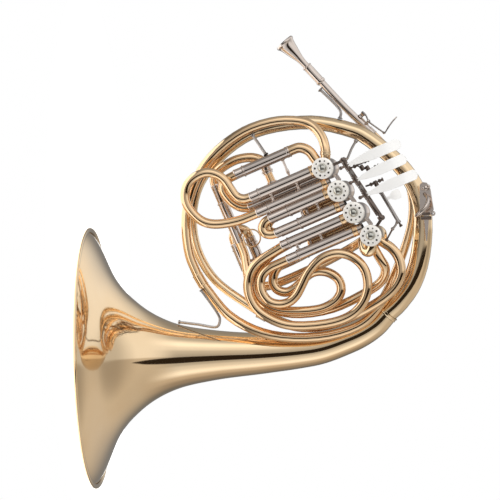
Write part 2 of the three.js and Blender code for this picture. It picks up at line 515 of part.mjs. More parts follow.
// ---- finger hook --------------------------------------------------------
const HOOK_PLATE = [13.4, 15.2]
add('hook_plate', shell(join([plate([[138, 65], [147, 65], [153.5, 31], [146, 28.5]], ...HOOK_PLATE),
  box(132, 149, 13.4, 17.6, 15, 24), plate([[146, 30], [150.5, 31], [147, 20], [141.5, 20]], ...HOOK_PLATE),
  plate([[139, 16], [146.5, 16], [142.6, -6], [141.4, -6]], ...HOOK_PLATE)])), nickel)
const hookPath = pts([[143, 12, 52], [146, 4, 50], [149, -5, 45], [147, -12, 37], [141, -13, 30], [135, -9, 26]])
add('finger_hook', wire(route(hookPath), 2.1), nickel)
add('hook_screw', turned([[0, 0], [1.4, 0], [1.4, 3], [3.6, 3], [3.6, 6], [0, 6.6]], v3(145, 12.9, 59),
  v3(0, -1, 0), 12), nickel)

// ---- braces -------------------------------------------------------------
add('bell_brace', wire(pts([[-131, -1.4, -57], [-112, -1.4, -85], [-109, 1, -93], [-113, 7, -102],
  [-138, 19, -99], [-163, 29.5, -95.6]]), 1.6, 6), nickel)
add('top_brace', rod(v3(-64, 6.5, 128.6), v3(-46.6, -6, 104.4), 1.8), nickel)
add('leadpipe_brace', wire(pts([[15, 41, 182], [36, 36, 161], [41, 31.5, 153.5], [40, 30, 145.8]]), 1.75), nickel)

// ---- row frame: stand the horn on its bell -----------------------------
const stand = new THREE.Matrix4().makeRotationY(-Math.PI / 2)
const bb = new THREE.Box3()
group.children.forEach(m => {
  m.geometry.applyMatrix4(stand)
  m.geometry.computeBoundingBox()
  bb.union(m.geometry.boundingBox)
})
const mid = bb.getCenter(v3(0, 0, 0))
group.children.forEach(m => m.geometry.translate(-mid.x, -mid.y, -bb.min.z))

export default group
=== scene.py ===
"""Looks of the double french horn: smooth tubing, valves, levers and finishes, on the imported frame."""

import json
import math

import bmesh
import bpy
import numpy as np
from mathutils import Matrix, Vector

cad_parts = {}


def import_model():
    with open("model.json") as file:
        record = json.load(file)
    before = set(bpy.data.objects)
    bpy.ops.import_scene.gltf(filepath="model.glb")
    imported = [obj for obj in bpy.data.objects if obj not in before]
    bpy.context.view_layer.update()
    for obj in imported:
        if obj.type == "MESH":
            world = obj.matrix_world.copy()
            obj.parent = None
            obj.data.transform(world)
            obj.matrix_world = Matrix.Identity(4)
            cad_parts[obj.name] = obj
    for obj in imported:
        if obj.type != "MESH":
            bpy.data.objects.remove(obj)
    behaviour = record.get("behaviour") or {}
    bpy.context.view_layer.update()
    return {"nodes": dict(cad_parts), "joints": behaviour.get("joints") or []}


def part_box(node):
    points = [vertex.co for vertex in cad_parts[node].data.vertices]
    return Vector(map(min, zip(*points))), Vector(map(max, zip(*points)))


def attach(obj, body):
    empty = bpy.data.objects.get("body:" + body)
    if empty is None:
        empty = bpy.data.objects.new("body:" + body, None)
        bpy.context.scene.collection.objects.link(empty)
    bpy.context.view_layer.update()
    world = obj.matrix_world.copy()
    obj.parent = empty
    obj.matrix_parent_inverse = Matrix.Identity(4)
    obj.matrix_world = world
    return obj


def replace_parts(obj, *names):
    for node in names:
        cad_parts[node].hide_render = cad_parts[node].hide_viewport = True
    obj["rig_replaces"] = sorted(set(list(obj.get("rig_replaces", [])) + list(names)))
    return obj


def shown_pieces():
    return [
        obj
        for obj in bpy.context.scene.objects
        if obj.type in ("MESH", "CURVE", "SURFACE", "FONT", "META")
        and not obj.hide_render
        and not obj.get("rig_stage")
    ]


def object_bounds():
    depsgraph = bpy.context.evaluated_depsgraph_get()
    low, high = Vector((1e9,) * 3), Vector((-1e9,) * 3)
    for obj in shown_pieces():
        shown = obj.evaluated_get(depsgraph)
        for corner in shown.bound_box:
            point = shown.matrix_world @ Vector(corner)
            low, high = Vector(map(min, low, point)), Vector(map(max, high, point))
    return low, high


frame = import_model()

MM = 0.001
JOINT = {j["name"]: j for j in frame["joints"]}

# ---- directions and places ----
# valve frame: origin at the first rotor, x along the valve slides towards the rotors, z across them
VALVE_X = -np.array(JOINT["first_f_slide_pull"]["axis"], float)
VALVE_Z = np.array(JOINT["tuning_slide_pull"]["axis"], float)
V1 = np.array(JOINT["rotor_1_turn"]["pos_m"]) + MM * (0.5 * VALVE_X + 1.2 * VALVE_Z)
DEPTH = np.array([0.0, 1.0, 0.0])
ROTORS = [np.array(JOINT[f"rotor_{n}_turn"]["pos_m"]) for n in range(1, 5)]
LAY_X = np.array([0.0, 0.0, 1.0])
LAY_Z = np.array([-1.0, 0.0, 0.0])
LAY_ORIGIN = V1 - 25.1 * MM * LAY_X - 87.2 * MM * LAY_Z


def valve(x, y, z):
    """A point given in the valve frame, in millimetres."""
    return V1 + MM * (x * VALVE_X + y * DEPTH + z * VALVE_Z)


def lay(x, y, z):
    """A point given along the bell axis, in depth and across, in millimetres."""
    return LAY_ORIGIN + MM * (x * LAY_X + y * DEPTH + z * LAY_Z)


def unit(v):
    return np.asarray(v, float) / np.linalg.norm(v)


# ---- materials ----
CLOUD_SCALE, CLOUD_DETAIL = 22.0, 5.0
GRAIN_DETAIL, GRAIN_TWIST = 8.0, 1.5
RIPPLE, RIPPLE_DEEP = 0.02, 0.6 * MM
SCRATCH = 0.04
COAT_ROUGH = 0.03


def metal(name, colour, deep, roughness, coat=0.0, grain=260.0, metallic=1.0):
    """Polished metal: two tones of one colour in soft clouds, fine polishing lines and a faint waviness."""
    m = bpy.data.materials.new(name)
    m.use_nodes = True
    nt = m.node_tree
    bsdf = nt.nodes["Principled BSDF"]
    bsdf.inputs["Metallic"].default_value = metallic
    bsdf.inputs["Coat Weight"].default_value = coat
    bsdf.inputs["Coat Roughness"].default_value = COAT_ROUGH
    place = nt.nodes.new("ShaderNodeTexCoord")
    cloud = nt.nodes.new("ShaderNodeTexNoise")
    cloud.inputs["Scale"].default_value = CLOUD_SCALE
    cloud.inputs["Detail"].default_value = CLOUD_DETAIL
    nt.links.new(place.outputs["Object"], cloud.inputs["Vector"])
    tone = nt.nodes.new("ShaderNodeMix")
    tone.data_type = "RGBA"
    tone.inputs["A"].default_value = (*colour, 1.0)
    tone.inputs["B"].default_value = (*deep, 1.0)
    nt.links.new(cloud.outputs["Fac"], tone.inputs["Factor"])
    nt.links.new(tone.outputs["Result"], bsdf.inputs["Base Color"])
    fine = nt.nodes.new("ShaderNodeTexNoise")
    fine.inputs["Scale"].default_value = grain
    fine.inputs["Detail"].default_value = GRAIN_DETAIL
    fine.inputs["Distortion"].default_value = GRAIN_TWIST
    nt.links.new(place.outputs["Object"], fine.inputs["Vector"])
    spread = nt.nodes.new("ShaderNodeMapRange")
    spread.inputs["To Min"].default_value = roughness
    spread.inputs["To Max"].default_value = roughness + SCRATCH
    nt.links.new(fine.outputs["Fac"], spread.inputs["Value"])
    nt.links.new(spread.outputs["Result"], bsdf.inputs["Roughness"])
    bump = nt.nodes.new("ShaderNodeBump")
    bump.inputs["Strength"].default_value = RIPPLE
    bump.inputs["Distance"].default_value = RIPPLE_DEEP
    nt.links.new(cloud.outputs["Fac"], bump.inputs["Height"])
    nt.links.new(bump.outputs["Normal"], bsdf.inputs["Normal"])
    return m


BRASS = metal("lacquered_brass", (0.94, 0.74, 0.49), (0.89, 0.65, 0.39), 0.05, coat=0.2)
BOW_BRASS = metal("bow_brass", (0.93, 0.68, 0.42), (0.86, 0.57, 0.32), 0.06, coat=0.2)
NICKEL = metal("nickel_silver", (0.77, 0.68, 0.62), (0.66, 0.57, 0.51), 0.09)
PLATE = metal("silver_plate", (0.96, 0.93, 0.88), (0.90, 0.86, 0.80), 0.28, metallic=0.35)
TOUCH = metal("touch_plate", (0.98, 0.97, 0.95), (0.94, 0.93, 0.91), 0.30, metallic=0.15)
STEEL = metal("steel", (0.46, 0.43, 0.41), (0.32, 0.29, 0.27), 0.2, grain=900.0)
DARK = metal("dark_steel", (0.24, 0.19, 0.16), (0.13, 0.10, 0.09), 0.25, grain=900.0)
BUTTON = metal("valve_button", (0.60, 0.59, 0.54), (0.50, 0.49, 0.44), 0.12)
# near-black: painted shade, standing for the dark inside of the cap holes
PAINTED_SHADE = metal("painted_hole_shade", (0.10, 0.08, 0.07), (0.06, 0.05, 0.04), 0.4)


CORK_SCALE, CORK_DEEP = 1400.0, 0.3 * MM


def cork_finish():
    """Cork: brown cells, light in the middle, with a dull pitted surface."""
    m = bpy.data.materials.new("cork")
    m.use_nodes = True
    nt = m.node_tree
    bsdf = nt.nodes["Principled BSDF"]
    bsdf.inputs["Roughness"].default_value = 0.85
    place = nt.nodes.new("ShaderNodeTexCoord")
    cell = nt.nodes.new("ShaderNodeTexVoronoi")
    cell.inputs["Scale"].default_value = CORK_SCALE
    nt.links.new(place.outputs["Object"], cell.inputs["Vector"])
    ramp = nt.nodes.new("ShaderNodeValToRGB")
    ramp.color_ramp.elements[0].color = (0.20, 0.10, 0.045, 1)
    ramp.color_ramp.elements[1].color = (0.56, 0.36, 0.19, 1)
    nt.links.new(cell.outputs["Distance"], ramp.inputs["Fac"])
    nt.links.new(ramp.outputs["Color"], bsdf.inputs["Base Color"])
    bump = nt.nodes.new("ShaderNodeBump")
    bump.inputs["Strength"].default_value = 0.5
    bump.inputs["Distance"].default_value = CORK_DEEP
    nt.links.new(cell.outputs["Distance"], bump.inputs["Height"])
    nt.links.new(bump.outputs["Normal"], bsdf.inputs["Normal"])
    return m


CORK = cork_finish()


# ---- mesh building ----
SHARP_ANGLE = math.radians(38)
BEVEL_ANGLE = math.radians(40)


def sideways(direction):
    """Two directions across the given one."""
    seed = DEPTH if abs(direction[1]) < 0.9 else LAY_X
    a = unit(seed - direction * np.dot(seed, direction))
    return a, np.cross(direction, a)


class Form:
    """Rings, turned shapes and plates gathered into one mesh."""

    def __init__(self):
        self.verts, self.faces = [], []

    def rings(self, rings, closed=False, caps=True):
        """Skins rings of equal count; closed joins the last ring to the first."""
        k = len(rings[0])
        n = len(rings)
        base = len(self.verts)
        for ring in rings:
            self.verts.extend(map(tuple, ring))
        for i in range(n if closed else n - 1):
            a = base + i * k
            b = base + (i + 1) % n * k
            self.faces.extend((a + j, a + (j + 1) % k, b + (j + 1) % k, b + j) for j in range(k))
        if caps and not closed:
            self.faces.append(tuple(base + j for j in reversed(range(k))))
            self.faces.append(tuple(base + (n - 1) * k + j for j in range(k)))
        return self

    def tube(self, path, radius, sides=28, wall=None):
        """A tube along a path, closed at its ends, or hollow with a wall when one is given."""
        path = np.asarray(path, float)
        radius = np.broadcast_to(radius, len(path))
        step = np.diff(path, axis=0)
        step /= np.linalg.norm(step, axis=1)[:, None]
        along = np.vstack([step[:1], step[:-1] + step[1:], step[-1:]])
        along /= np.linalg.norm(along, axis=1)[:, None]
        side = sideways(along[0])[0]
        rings, inner = [], []
        turn = np.arange(sides) * 2 * math.pi / sides
        for p, t, r in zip(path, along, radius):
            side = unit(side - t * np.dot(side, t))
            up = np.cross(t, side)
            circle = np.cos(turn)[:, None] * side + np.sin(turn)[:, None] * up
            rings.append(p + circle * r)
            if wall:
                inner.append(p + circle * (r - wall))
        if not wall:
            return self.rings(rings)
        return self.rings(rings + inner[::-1], closed=True)

    def turned(self, profile, at, axis, sides=40):
        """A turned shape: profile of (radius, along) in millimetres; radius 0 closes an end."""
        axis = unit(axis)
        a, b = sideways(axis)
        turn = np.arange(sides) * 2 * math.pi / sides
        circle = np.cos(turn)[:, None] * a + np.sin(turn)[:, None] * b
        rings = [np.asarray(at) + MM * (h * axis + max(r, 0.01) * circle) for r, h in profile]
        closed = profile[0] == profile[-1]
        return self.rings(rings[:-1] if closed else rings, closed=closed)

    def ball(self, centre, radius, axis=DEPTH):
        """A ball, radius in millimetres."""
        steps = [i * math.pi / 8 for i in range(9)]
        profile = [(radius * math.sin(t), -radius * math.cos(t)) for t in steps]
        return self.turned(profile, centre, axis, 20)

    def slab(self, low, high):
        """A plate between two outlines of equal count."""
        return self.rings([low, high])

    def bar(self, a, b, radius, sides=20):
        """A round rod between two points, radius in millimetres."""
        return self.tube([a, b], radius * MM, sides)

    def piece(self, name, material, body, *replaced, bevel=0.0):
        """Makes the object, on the given body and in place of the given nodes."""
        mesh = bpy.data.meshes.new(name)
        mesh.from_pydata(self.verts, [], self.faces)
        bm = bmesh.new()
        bm.from_mesh(mesh)
        bmesh.ops.recalc_face_normals(bm, faces=bm.faces)
        bm.to_mesh(mesh)
        bm.free()
        mesh.materials.append(material)
        obj = bpy.data.objects.new(name, mesh)
        bpy.context.scene.collection.objects.link(obj)
        if bevel:
            m = obj.modifiers.new("soft_edges", "BEVEL")
            m.width = bevel * MM
            m.segments = 3
            m.limit_method = "ANGLE"
            m.angle_limit = BEVEL_ANGLE
        mesh.shade_smooth()
        mesh.set_sharp_from_angle(angle=SHARP_ANGLE)
        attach(obj, body)
        if replaced:
            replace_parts(obj, *replaced)
        return obj


FINE_STEP = 1.0 * MM


def spline(points, values=None, bend=5.0, reach=14 * MM):
    """A smooth curve through the points, thinned to one sample per `bend` degrees or `reach`."""
    p = [np.asarray(q, float) for q in points]
    p = [2 * p[0] - p[1]] + p + [2 * p[-1] - p[-2]]
    v = list(values if values is not None else [0.0] * (len(p) - 2))
    v = [2 * v[0] - v[1]] + v + [2 * v[-1] - v[-2]]
    out, carried = [], []
    for i in range(1, len(p) - 2):
        knots = [0.0]
        for a, b in zip(p[i - 1:i + 2], p[i:i + 3]):
            knots.append(knots[-1] + max(np.linalg.norm(b - a), 1e-6) ** 0.5)
        t0, t1, t2, t3 = knots
        n = max(2, int(np.linalg.norm(p[i + 1] - p[i]) / FINE_STEP))
        for s in np.linspace(t1, t2, n, endpoint=False):
            def mix(q):
                a1 = q[0] * (t1 - s) / (t1 - t0) + q[1] * (s - t0) / (t1 - t0)
                a2 = q[1] * (t2 - s) / (t2 - t1) + q[2] * (s - t1) / (t2 - t1)
                a3 = q[2] * (t3 - s) / (t3 - t2) + q[3] * (s - t2) / (t3 - t2)
                b1 = a1 * (t2 - s) / (t2 - t0) + a2 * (s - t0) / (t2 - t0)
                b2 = a2 * (t3 - s) / (t3 - t1) + a3 * (s - t1) / (t3 - t1)
                return b1 * (t2 - s) / (t2 - t1) + b2 * (s - t1) / (t2 - t1)
            out.append(mix(p[i - 1:i + 3]))
            carried.append(mix(v[i - 1:i + 3]))
    out.append(p[-2])
    carried.append(v[-2])
    keep = [0]
    turned_by = run = 0.0
    last = unit(out[1] - out[0])
    for i in range(1, len(out) - 1):
        d = unit(out[i + 1] - out[i])
        turned_by += math.degrees(math.acos(min(1.0, max(-1.0, float(np.dot(last, d))))))
        run += np.linalg.norm(out[i] - out[i - 1])
        last = d
        if turned_by >= bend or run >= reach:
            keep.append(i)
            turned_by = run = 0.0
    keep.append(len(out) - 1)
    return np.array([out[i] for i in keep]), np.array([carried[i] for i in keep])


# ---- reading the swept tubes back from the frame ----
def welded(node):
    """A node's vertices, each once, with its faces."""
    mesh = frame["nodes"][node].data
    seen, index, points = {}, [], []
    for v in mesh.vertices:
        key = tuple(round(c * 1e6) for c in v.co)
        if key not in seen:
            seen[key] = len(points)
            points.append(v.co[:])
        index.append(seen[key])
    return np.array(points), [[index[i] for i in f.vertices] for f in mesh.polygons]


RING_SIDES = (6, 8, 10, 24)
ROUND_ENOUGH = 0.02 * MM
SAME_CENTRE = 0.3 * MM
CUT_ALLOWANCE = 3 * MM
EDGE_DOT = 0.17


def stations(node):
    """Centres and outer radii of a swept tube's rings, from a whole end to the other end or to its cut."""
    points, faces = welded(node)
    near, normals = {}, {}
    for f in faces:
        a, b, c = points[f[:3]]
        n = np.cross(b - a, c - a)
        n = n / max(np.linalg.norm(n), 1e-12)
        for i, j in zip(f, f[1:] + f[:1]):
            near.setdefault(i, set()).add(j)
            near.setdefault(j, set()).add(i)
            normals.setdefault(frozenset((i, j)), []).append(n)
    sharp = {}
    for edge, ns in normals.items():
        if len(ns) == 2 and abs(float(np.dot(*ns))) < EDGE_DOT:
            i, j = edge
            sharp.setdefault(i, set()).add(j)
            sharp.setdefault(j, set()).add(i)
    loops, left = [], set(sharp)
    while left:
        stack, loop = [left.pop()], set()
        while stack:
            i = stack.pop()
            loop.add(i)
            for j in sharp[i] & left:
                left.discard(j)
                stack.append(j)
        loops.append(sorted(loop))
    flat = []
    for loop in loops:
        if not all(len(sharp[i]) == 2 for i in loop) or len(loop) not in RING_SIDES:
            continue
        q = points[loop]
        centre = q.mean(0)
        reach = np.linalg.norm(q - centre, axis=1)
        if reach.max() - reach.min() < ROUND_ENOUGH:
            flat.append((centre, float(reach.max()), loop))
    flat.sort(key=lambda f: -f[1])
    ends, used = [], set()
    for centre, radius, loop in flat:
        if loop[0] in used:
            continue
        inside = [o for at, r, o in flat
                  if o is not loop and r < radius and np.linalg.norm(centre - at) < SAME_CENTRE]
        start = sorted(loop + [i for o in inside for i in o])
        used.update(start)
        ends.append(start)
    ends.sort(key=lambda e: -len(e))

    def walk(start):
        """Steps ring by ring away from an end for as long as the rings are whole."""
        level, seen, out = set(start), set(start), []
        while len(level) == len(start):
            q = points[sorted(level)]
            middle = q.mean(0)
            out.append((middle, float(np.linalg.norm(q - middle, axis=1).max())))
            level = {j for i in level for j in near[i]} - seen
            seen |= level
        return out, seen

    out, seen = walk(ends[0])
    rest = points[sorted(set(range(len(points))) - seen)]
    if len(rest) and len(ends) > 1:
        out += walk(ends[1])[0][::-1]
    elif len(rest):
        ahead = unit(out[-1][0] - out[-2][0])
        extra = float(((rest - out[-1][0]) @ ahead).max()) + CUT_ALLOWANCE
        out.append((out[-1][0] + ahead * extra, out[-1][1]))
    return np.array([c for c, _ in out]), np.array([r for _, r in out])


# ---- bell ----
SHEET = 0.8 * MM
rim_lo, rim_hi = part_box("bell_rim")
RIM_R = (rim_hi.x - rim_lo.x) / 2
RIM_C = np.array([(rim_lo.x + rim_hi.x) / 2, (rim_lo.y + rim_hi.y) / 2, (rim_lo.z + rim_hi.z) / 2])
bell_c, bell_r = stations("bell")
if bell_r[0] < bell_r[-1]:
    bell_c, bell_r = bell_c[::-1], bell_r[::-1]
line, width = spline(bell_c, bell_r, bend=2.5, reach=3 * MM)
Form().tube(line, width, sides=128, wall=SHEET).piece("bell_flare", BRASS, "horn", "bell")
BEAD_WIDE, BEAD_HIGH = 3.0, 2.1
bead = [(RIM_R / MM - BEAD_WIDE + BEAD_WIDE * math.cos(i * math.pi / 6), BEAD_HIGH * math.sin(i * math.pi / 6))
        for i in range(12)]
Form().turned(bead + bead[:1], RIM_C, LAY_X, 160).piece("bell_bead", BRASS, "horn", "bell_rim")


# ---- fixed tubing ----
LEAD_IN_ROOM = 8 * MM


def smooth_tube(node, material=BRASS, sides=28, lead_in=(), slimmer=0.0):
    """A round tube on a node's own line; lead_in gives the points between its cut end and the casing."""
    centres, radii = stations(node)
    radii = radii - slimmer * MM
    if lead_in:
        if np.linalg.norm(centres[0] - lead_in[0]) < np.linalg.norm(centres[-1] - lead_in[0]):
            centres, radii = centres[::-1], radii[::-1]
        keep = np.linalg.norm(centres[:-1] - lead_in[0], axis=1) > LEAD_IN_ROOM
        centres = np.vstack([centres[:-1][keep], lead_in])
        radii = np.append(radii[:-1][keep], [radii[-2]] * len(lead_in))
    line, width = spline(centres, radii)
    Form().tube(line, width, sides).piece(node + "_tube", material, "horn", node)


smooth_tube("bell_branch", sides=48, slimmer=0.5)
smooth_tube("feed_first", BOW_BRASS, lead_in=[lay(25.8, -6.5, 97)])
smooth_tube("feed_tuning", BOW_BRASS, lead_in=[valve(16.0, -6.5, -111)])
smooth_tube("feed_fourth", BOW_BRASS, lead_in=[lay(110, -6.5, -21), lay(103, -6.5, -12), lay(90, -6.5, -3)])
smooth_tube("feed_small_a", BOW_BRASS, lead_in=[valve(4, 20.5, -98), valve(11, 20.5, -97.6)])
smooth_tube("feed_small_b", BOW_BRASS, lead_in=[valve(3, 20.5, -63.8)])

# the leadpipe's end towards the mouthpiece is nickel silver, the rest is brass
LEADPIPE_JOINT_Z = 128 * MM
lead_line, lead_width = spline(*stations("leadpipe"))
if np.dot(lead_line[0] - lead_line[-1], LAY_Z) > 0:
    lead_line, lead_width = lead_line[::-1], lead_width[::-1]
joint = next(i for i, q in enumerate(lead_line) if np.dot(q - LAY_ORIGIN, LAY_Z) > LEADPIPE_JOINT_Z)
lower = Form().tube(lead_line[:joint + 1], lead_width[:joint + 1], 28)
lower.piece("leadpipe_tube", BOW_BRASS, "horn", "leadpipe")


def collar(form, at, axis, r, length, lip=0.5):
    """A turned ferrule with a raised lip at each end; its inner radius is r."""
    half = length / 2
    w = min(1.1, half * 0.5)
    outer = r + lip
    form.turned([(r, -half), (outer + 0.35, -half), (outer + 0.45, -half + w / 2), (outer, -half + w),
                 (outer, half - w), (outer + 0.45, half - w / 2), (outer + 0.35, half), (r, half), (r, -half)],
                at, axis, 48)


def ferrule(name, a, b, r, material=NICKEL, lip=0.6, replaced=()):
    """A collar between two points on a fixed tube."""
    form = Form()
    collar(form, (a + b) / 2, b - a, r, np.linalg.norm(b - a) / MM, lip)
    form.piece(name, material, "horn", *replaced)


ferrule("bell_joint", lay(89.6, 31.1, -91.3), lay(92.6, 31, -88.5), 14.6, BRASS, 0.35, ["bell_ferrule"])
ferrule("branch_joint", lay(-64, 20.9, -85.6), lay(-53.8, 20.1, -91.4), 6.4, replaced=["branch_ferrule"])
ferrule("feed_joint", lay(-136.0, 7, -38.5), lay(-128.4, 7, -52.2), 6.0, BOW_BRASS, 0.35)
ferrule("feed_first_collar", lay(25.8, -6.5, 102), lay(25.9, -6.5, 106.5), 6.0, BRASS, 0.3)
top = Form().tube(lead_line[joint:], lead_width[joint:], 28)
collar(top, lead_line[joint], lead_line[joint + 1] - lead_line[joint - 1], lead_width[joint] / MM, 9, 0.45)
top.piece("leadpipe_top", NICKEL, "horn")

# ---- mouthpiece and receiver ----
MP_OUT = unit(JOINT["mouthpiece_pull"]["axis"])


def along_axis(node, axis):
    """Lowest and highest point of a turned node on its own centre line."""
    points, _ = welded(node)
    s = points @ axis
    across = points - np.outer(s, axis)
    mid = (across.max(0) + across.min(0)) / 2
    return mid + axis * s.min(), mid + axis * s.max()


_, mp_out = along_axis("mouthpiece", MP_OUT)
_, rec_out = along_axis("receiver", MP_OUT)
mp_lip = mp_out - 0.6 * MM * MP_OUT
Form().turned(
    [(8.6, 0.4), (9.4, -0.2), (10.5, -0.6), (11.5, -0.4), (12.1, 0.4), (12.25, 1.4), (12.0, 2.4),
     (11.2, 3.4), (10.4, 4.8), (9.7, 7.2), (8.9, 10.4), (8.1, 14.0), (7.1, 18.2), (6.2, 21.8), (5.5, 24.6),
     (4.9, 27.4), (4.5, 30.0), (4.2, 34.0), (3.9, 40.0), (3.6, 46.0), (3.4, 52.5), (2.6, 52.5), (2.3, 40.0),
     (2.2, 28.0), (2.9, 23.5), (4.6, 18.5), (6.1, 13.0), (7.2, 8.0), (7.9, 4.0), (8.3, 1.6), (8.6, 0.4)],
    mp_lip, -MP_OUT, 64).piece("mouthpiece_cup", NICKEL, "mouthpiece", "mouthpiece")
Form().turned(
    [(4.7, 0), (5.2, 0), (6.0, 0.4), (6.1, 1.6), (5.6, 2.1), (5.4, 3.0), (5.35, 9.0), (5.3, 19.0),
     (5.35, 24.0), (5.9, 24.4), (6.0, 26.0), (5.6, 27.2), (4.9, 28.0), (4.6, 14.0), (4.7, 0)],
    rec_out, -MP_OUT, 48).piece("receiver_sleeve", NICKEL, "horn", "receiver")

# ---- valves ----
def knurl(form, centre, r, y0, y1, count=54):
    """A ring of fine ridges, as on a valve cap's edge."""
    turn = np.arange(count * 2) * math.pi / count
    ring = np.cos(turn)[:, None] * LAY_X + np.sin(turn)[:, None] * LAY_Z
    ridged = np.where(np.arange(count * 2) % 2, r, r - 0.3)[:, None] * MM
    inner = (r - 0.9) * MM
    lead = 0.5
    steps = ((y0, inner), (y0, ridged - lead * MM), (y0 + lead, ridged), (y1 - lead, ridged),
             (y1, ridged - lead * MM), (y1, inner))
    form.rings([centre + DEPTH * y * MM + ring * radius for y, radius in steps], closed=True)
    return form


# ring of holes in a cap: its radius, the two hole radii in turn, and the depths of their floors; the floors
# carry near-black discs of painted shade
HOLES, HOLES_R = 10, 9.1
HOLE_R = (0.95, 1.35)
HOLE_FLOOR, FLOOR_RAISED = 32.2, (0.3, 0.5)
HOLE_GAP = 0.02


def hole_places(centre):
    """Where each hole of a cap is, and whether it is one of the larger ones."""
    for k in range(HOLES):
        a = k * 2 * math.pi / HOLES
        yield centre + MM * HOLES_R * (math.cos(a) * LAY_X + math.sin(a) * LAY_Z), k % 2


def cap_mesh():
    """One valve cap, its axis along depth and its face towards the front, with its ring of holes."""
    form = Form().turned(
        [(0, 30.2), (12.6, 30.2), (13.1, 30.6), (13.1, 32.4), (12.8, 33.3), (12.3, 33.8), (11.6, 34.0),
         (6.4, 34.0), (6.0, 33.7), (5.8, 33.6), (0, 33.6)], (0, 0, 0), -DEPTH, 96)
    body = form.piece("cap_cut", PLATE, "horn")
    holes = Form()
    for at, large in hole_places(np.zeros(3)):
        r = HOLE_R[large]
        holes.turned([(0, HOLE_FLOOR), (r, HOLE_FLOOR), (r, 36), (0, 36)], at, -DEPTH, 16)
    cutter = holes.piece("cap_cutter", PLATE, "horn")
    m = body.modifiers.new("holes", "BOOLEAN")
    m.operation = "DIFFERENCE"
    m.solver = "EXACT"
    m.object = cutter
    graph = bpy.context.evaluated_depsgraph_get()
    mesh = bpy.data.meshes.new_from_object(body.evaluated_get(graph))
    for o in (body, cutter):
        bpy.data.objects.remove(o)
    mesh.set_sharp_from_angle(angle=math.radians(34))
    return mesh


CAP = cap_mesh()


def from_mesh(mesh, name, material, body, at, *replaced):
    """A copy of a mesh, shifted to its place."""
    copy = mesh.copy()
    copy.transform(Matrix.Translation(Vector(at)))
    copy.materials.clear()
    copy.materials.append(material)
    obj = bpy.data.objects.new(name, copy)
    bpy.context.scene.collection.objects.link(obj)
    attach(obj, body)
    if replaced:
        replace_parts(obj, *replaced)
    return obj


for n, c in enumerate(ROTORS, 1):
    from_mesh(CAP, f"cap_{n}_face", PLATE, "horn", c, f"cap_{n}")
    dome = [(5.6 * math.cos(t), 33.6 + 4.9 * math.sin(t)) for t in [i * math.pi / 20 for i in range(11)]]
    Form().turned([(0, 33.4), (5.6, 33.4)] + dome, c, -DEPTH, 48).piece(f"cap_{n}_dome", BUTTON, "horn")
    # a near-black disc on each hole's floor: painted shade for the inside of the hole
    floors = Form()
    for at, large in hole_places(c):
        r = HOLE_R[large] - HOLE_GAP
        low = HOLE_FLOOR + 0.05
        high = HOLE_FLOOR + FLOOR_RAISED[large]
        floors.turned([(0, low), (r, low), (r, high), (0, high)], at, -DEPTH, 12)
    floors.piece(f"cap_{n}_shade_discs", PAINTED_SHADE, "horn")
    wall = [(11.6, -30.0), (12.3, -30.0), (12.8, -29.4), (12.8, -26.8), (12.5, -26.2), (12.3, -25.2),
            (12.3, 21.8), (12.6, 22.2), (12.8, 22.8), (12.8, 27.4), (12.3, 28.0), (3.8, 28.0), (3.8, 25.7),
            (11.6, 25.7), (11.6, -30.0)]
    wall_metal = BRASS if n == 4 else NICKEL
    Form().turned(wall, c, DEPTH, 64).piece(f"casing_{n}_wall", wall_metal, "horn", f"casing_{n}")
    knurl(Form(), c, 13.2, -29.9, -26.9).piece(f"casing_{n}_grip", PLATE, "horn")

# bridges that tie each cap's mount to the next casing
for n, (c, after) in enumerate(zip(ROTORS, ROTORS[1:]), 1):
    middle = (c + after) / 2 + MM * (8.5 * VALVE_X - 28.5 * DEPTH)
    bridge = Form()
    w = 2.6 * MM * VALVE_X
    h = 5.6 * MM * unit(c - after)
    t = 0.9 * MM * DEPTH
    corners = [(1, 0.7), (0.7, 1), (-0.7, 1), (-1, 0.7), (-1, -0.7), (-0.7, -1), (0.7, -1), (1, -0.7)]
    outline = [middle + i * w + k * h for i, k in corners]
    bridge.slab([q - t for q in outline], [q + t for q in outline])
    head = [(0, 0), (1.6, 0), (1.7, 0.3), (1.7, 0.9), (1.2, 1.3), (0, 1.3)]
    for end in (-0.6, 0.6):
        bridge.turned(head, middle + end * h - t, -DEPTH, 20)
    bridge.piece(f"casing_bridge_{n}", NICKEL, "horn", bevel=0.2)

# ---- valve slide sleeves ----
SLEEVE_R, BORE_R, LEG_R = 6.4, 5.55, 5.0
NEAR_SLEEVE = 7.2 * MM
STAY_FOOT = 5.9 * MM


def slide_shape(node):
    """Legs and bow of a moving slide: the legs are thinner than the bow."""
    centres, radii = stations(node)
    bow = [i for i, r in enumerate(radii) if r > (LEG_R + 0.35) * MM]
    return centres, radii, bow[0], bow[-1]


def sleeve_reach(nodes, a, b):
    """How far the sleeves reach along the line from a (inner end) to b (outer end)."""
    points = np.vstack([welded(node)[0] for node in nodes])
    d = unit(b - a)
    s = (points - a) @ d
    off = np.linalg.norm(points - a - np.outer(s, d), axis=1)
    s = s[off < NEAR_SLEEVE]
    return float(s.min()), float(s.max())


SLEEVE_LIP = [(0.1, 0), (0.75, 0.35), (0.85, 1.0), (0.7, 1.7), (0.05, 2.1), (0, 2.6)]


def sleeve_profile(length):
    """Outer tube of a slide: a raised ring at its open end, then the plain wall."""
    lip = [(SLEEVE_R + high, at) for high, at in SLEEVE_LIP]
    return [(BORE_R, 0)] + lip + [(SLEEVE_R, length), (BORE_R, length), (BORE_R, 0)]


def stay(form, a, b):
    """A turned strut between two tubes, with a foot at each end and a bead in the middle."""
    length = np.linalg.norm(b - a) / MM
    foot = min(1.6, length * 0.22)
    half = [(0, 0), (3.0, 0), (2.6, foot * 0.6), (1.5, foot), (1.35, length * 0.38), (2.1, length * 0.46)]
    form.turned(half + [(r, length - h) for r, h in reversed(half)], a, b - a, 24)


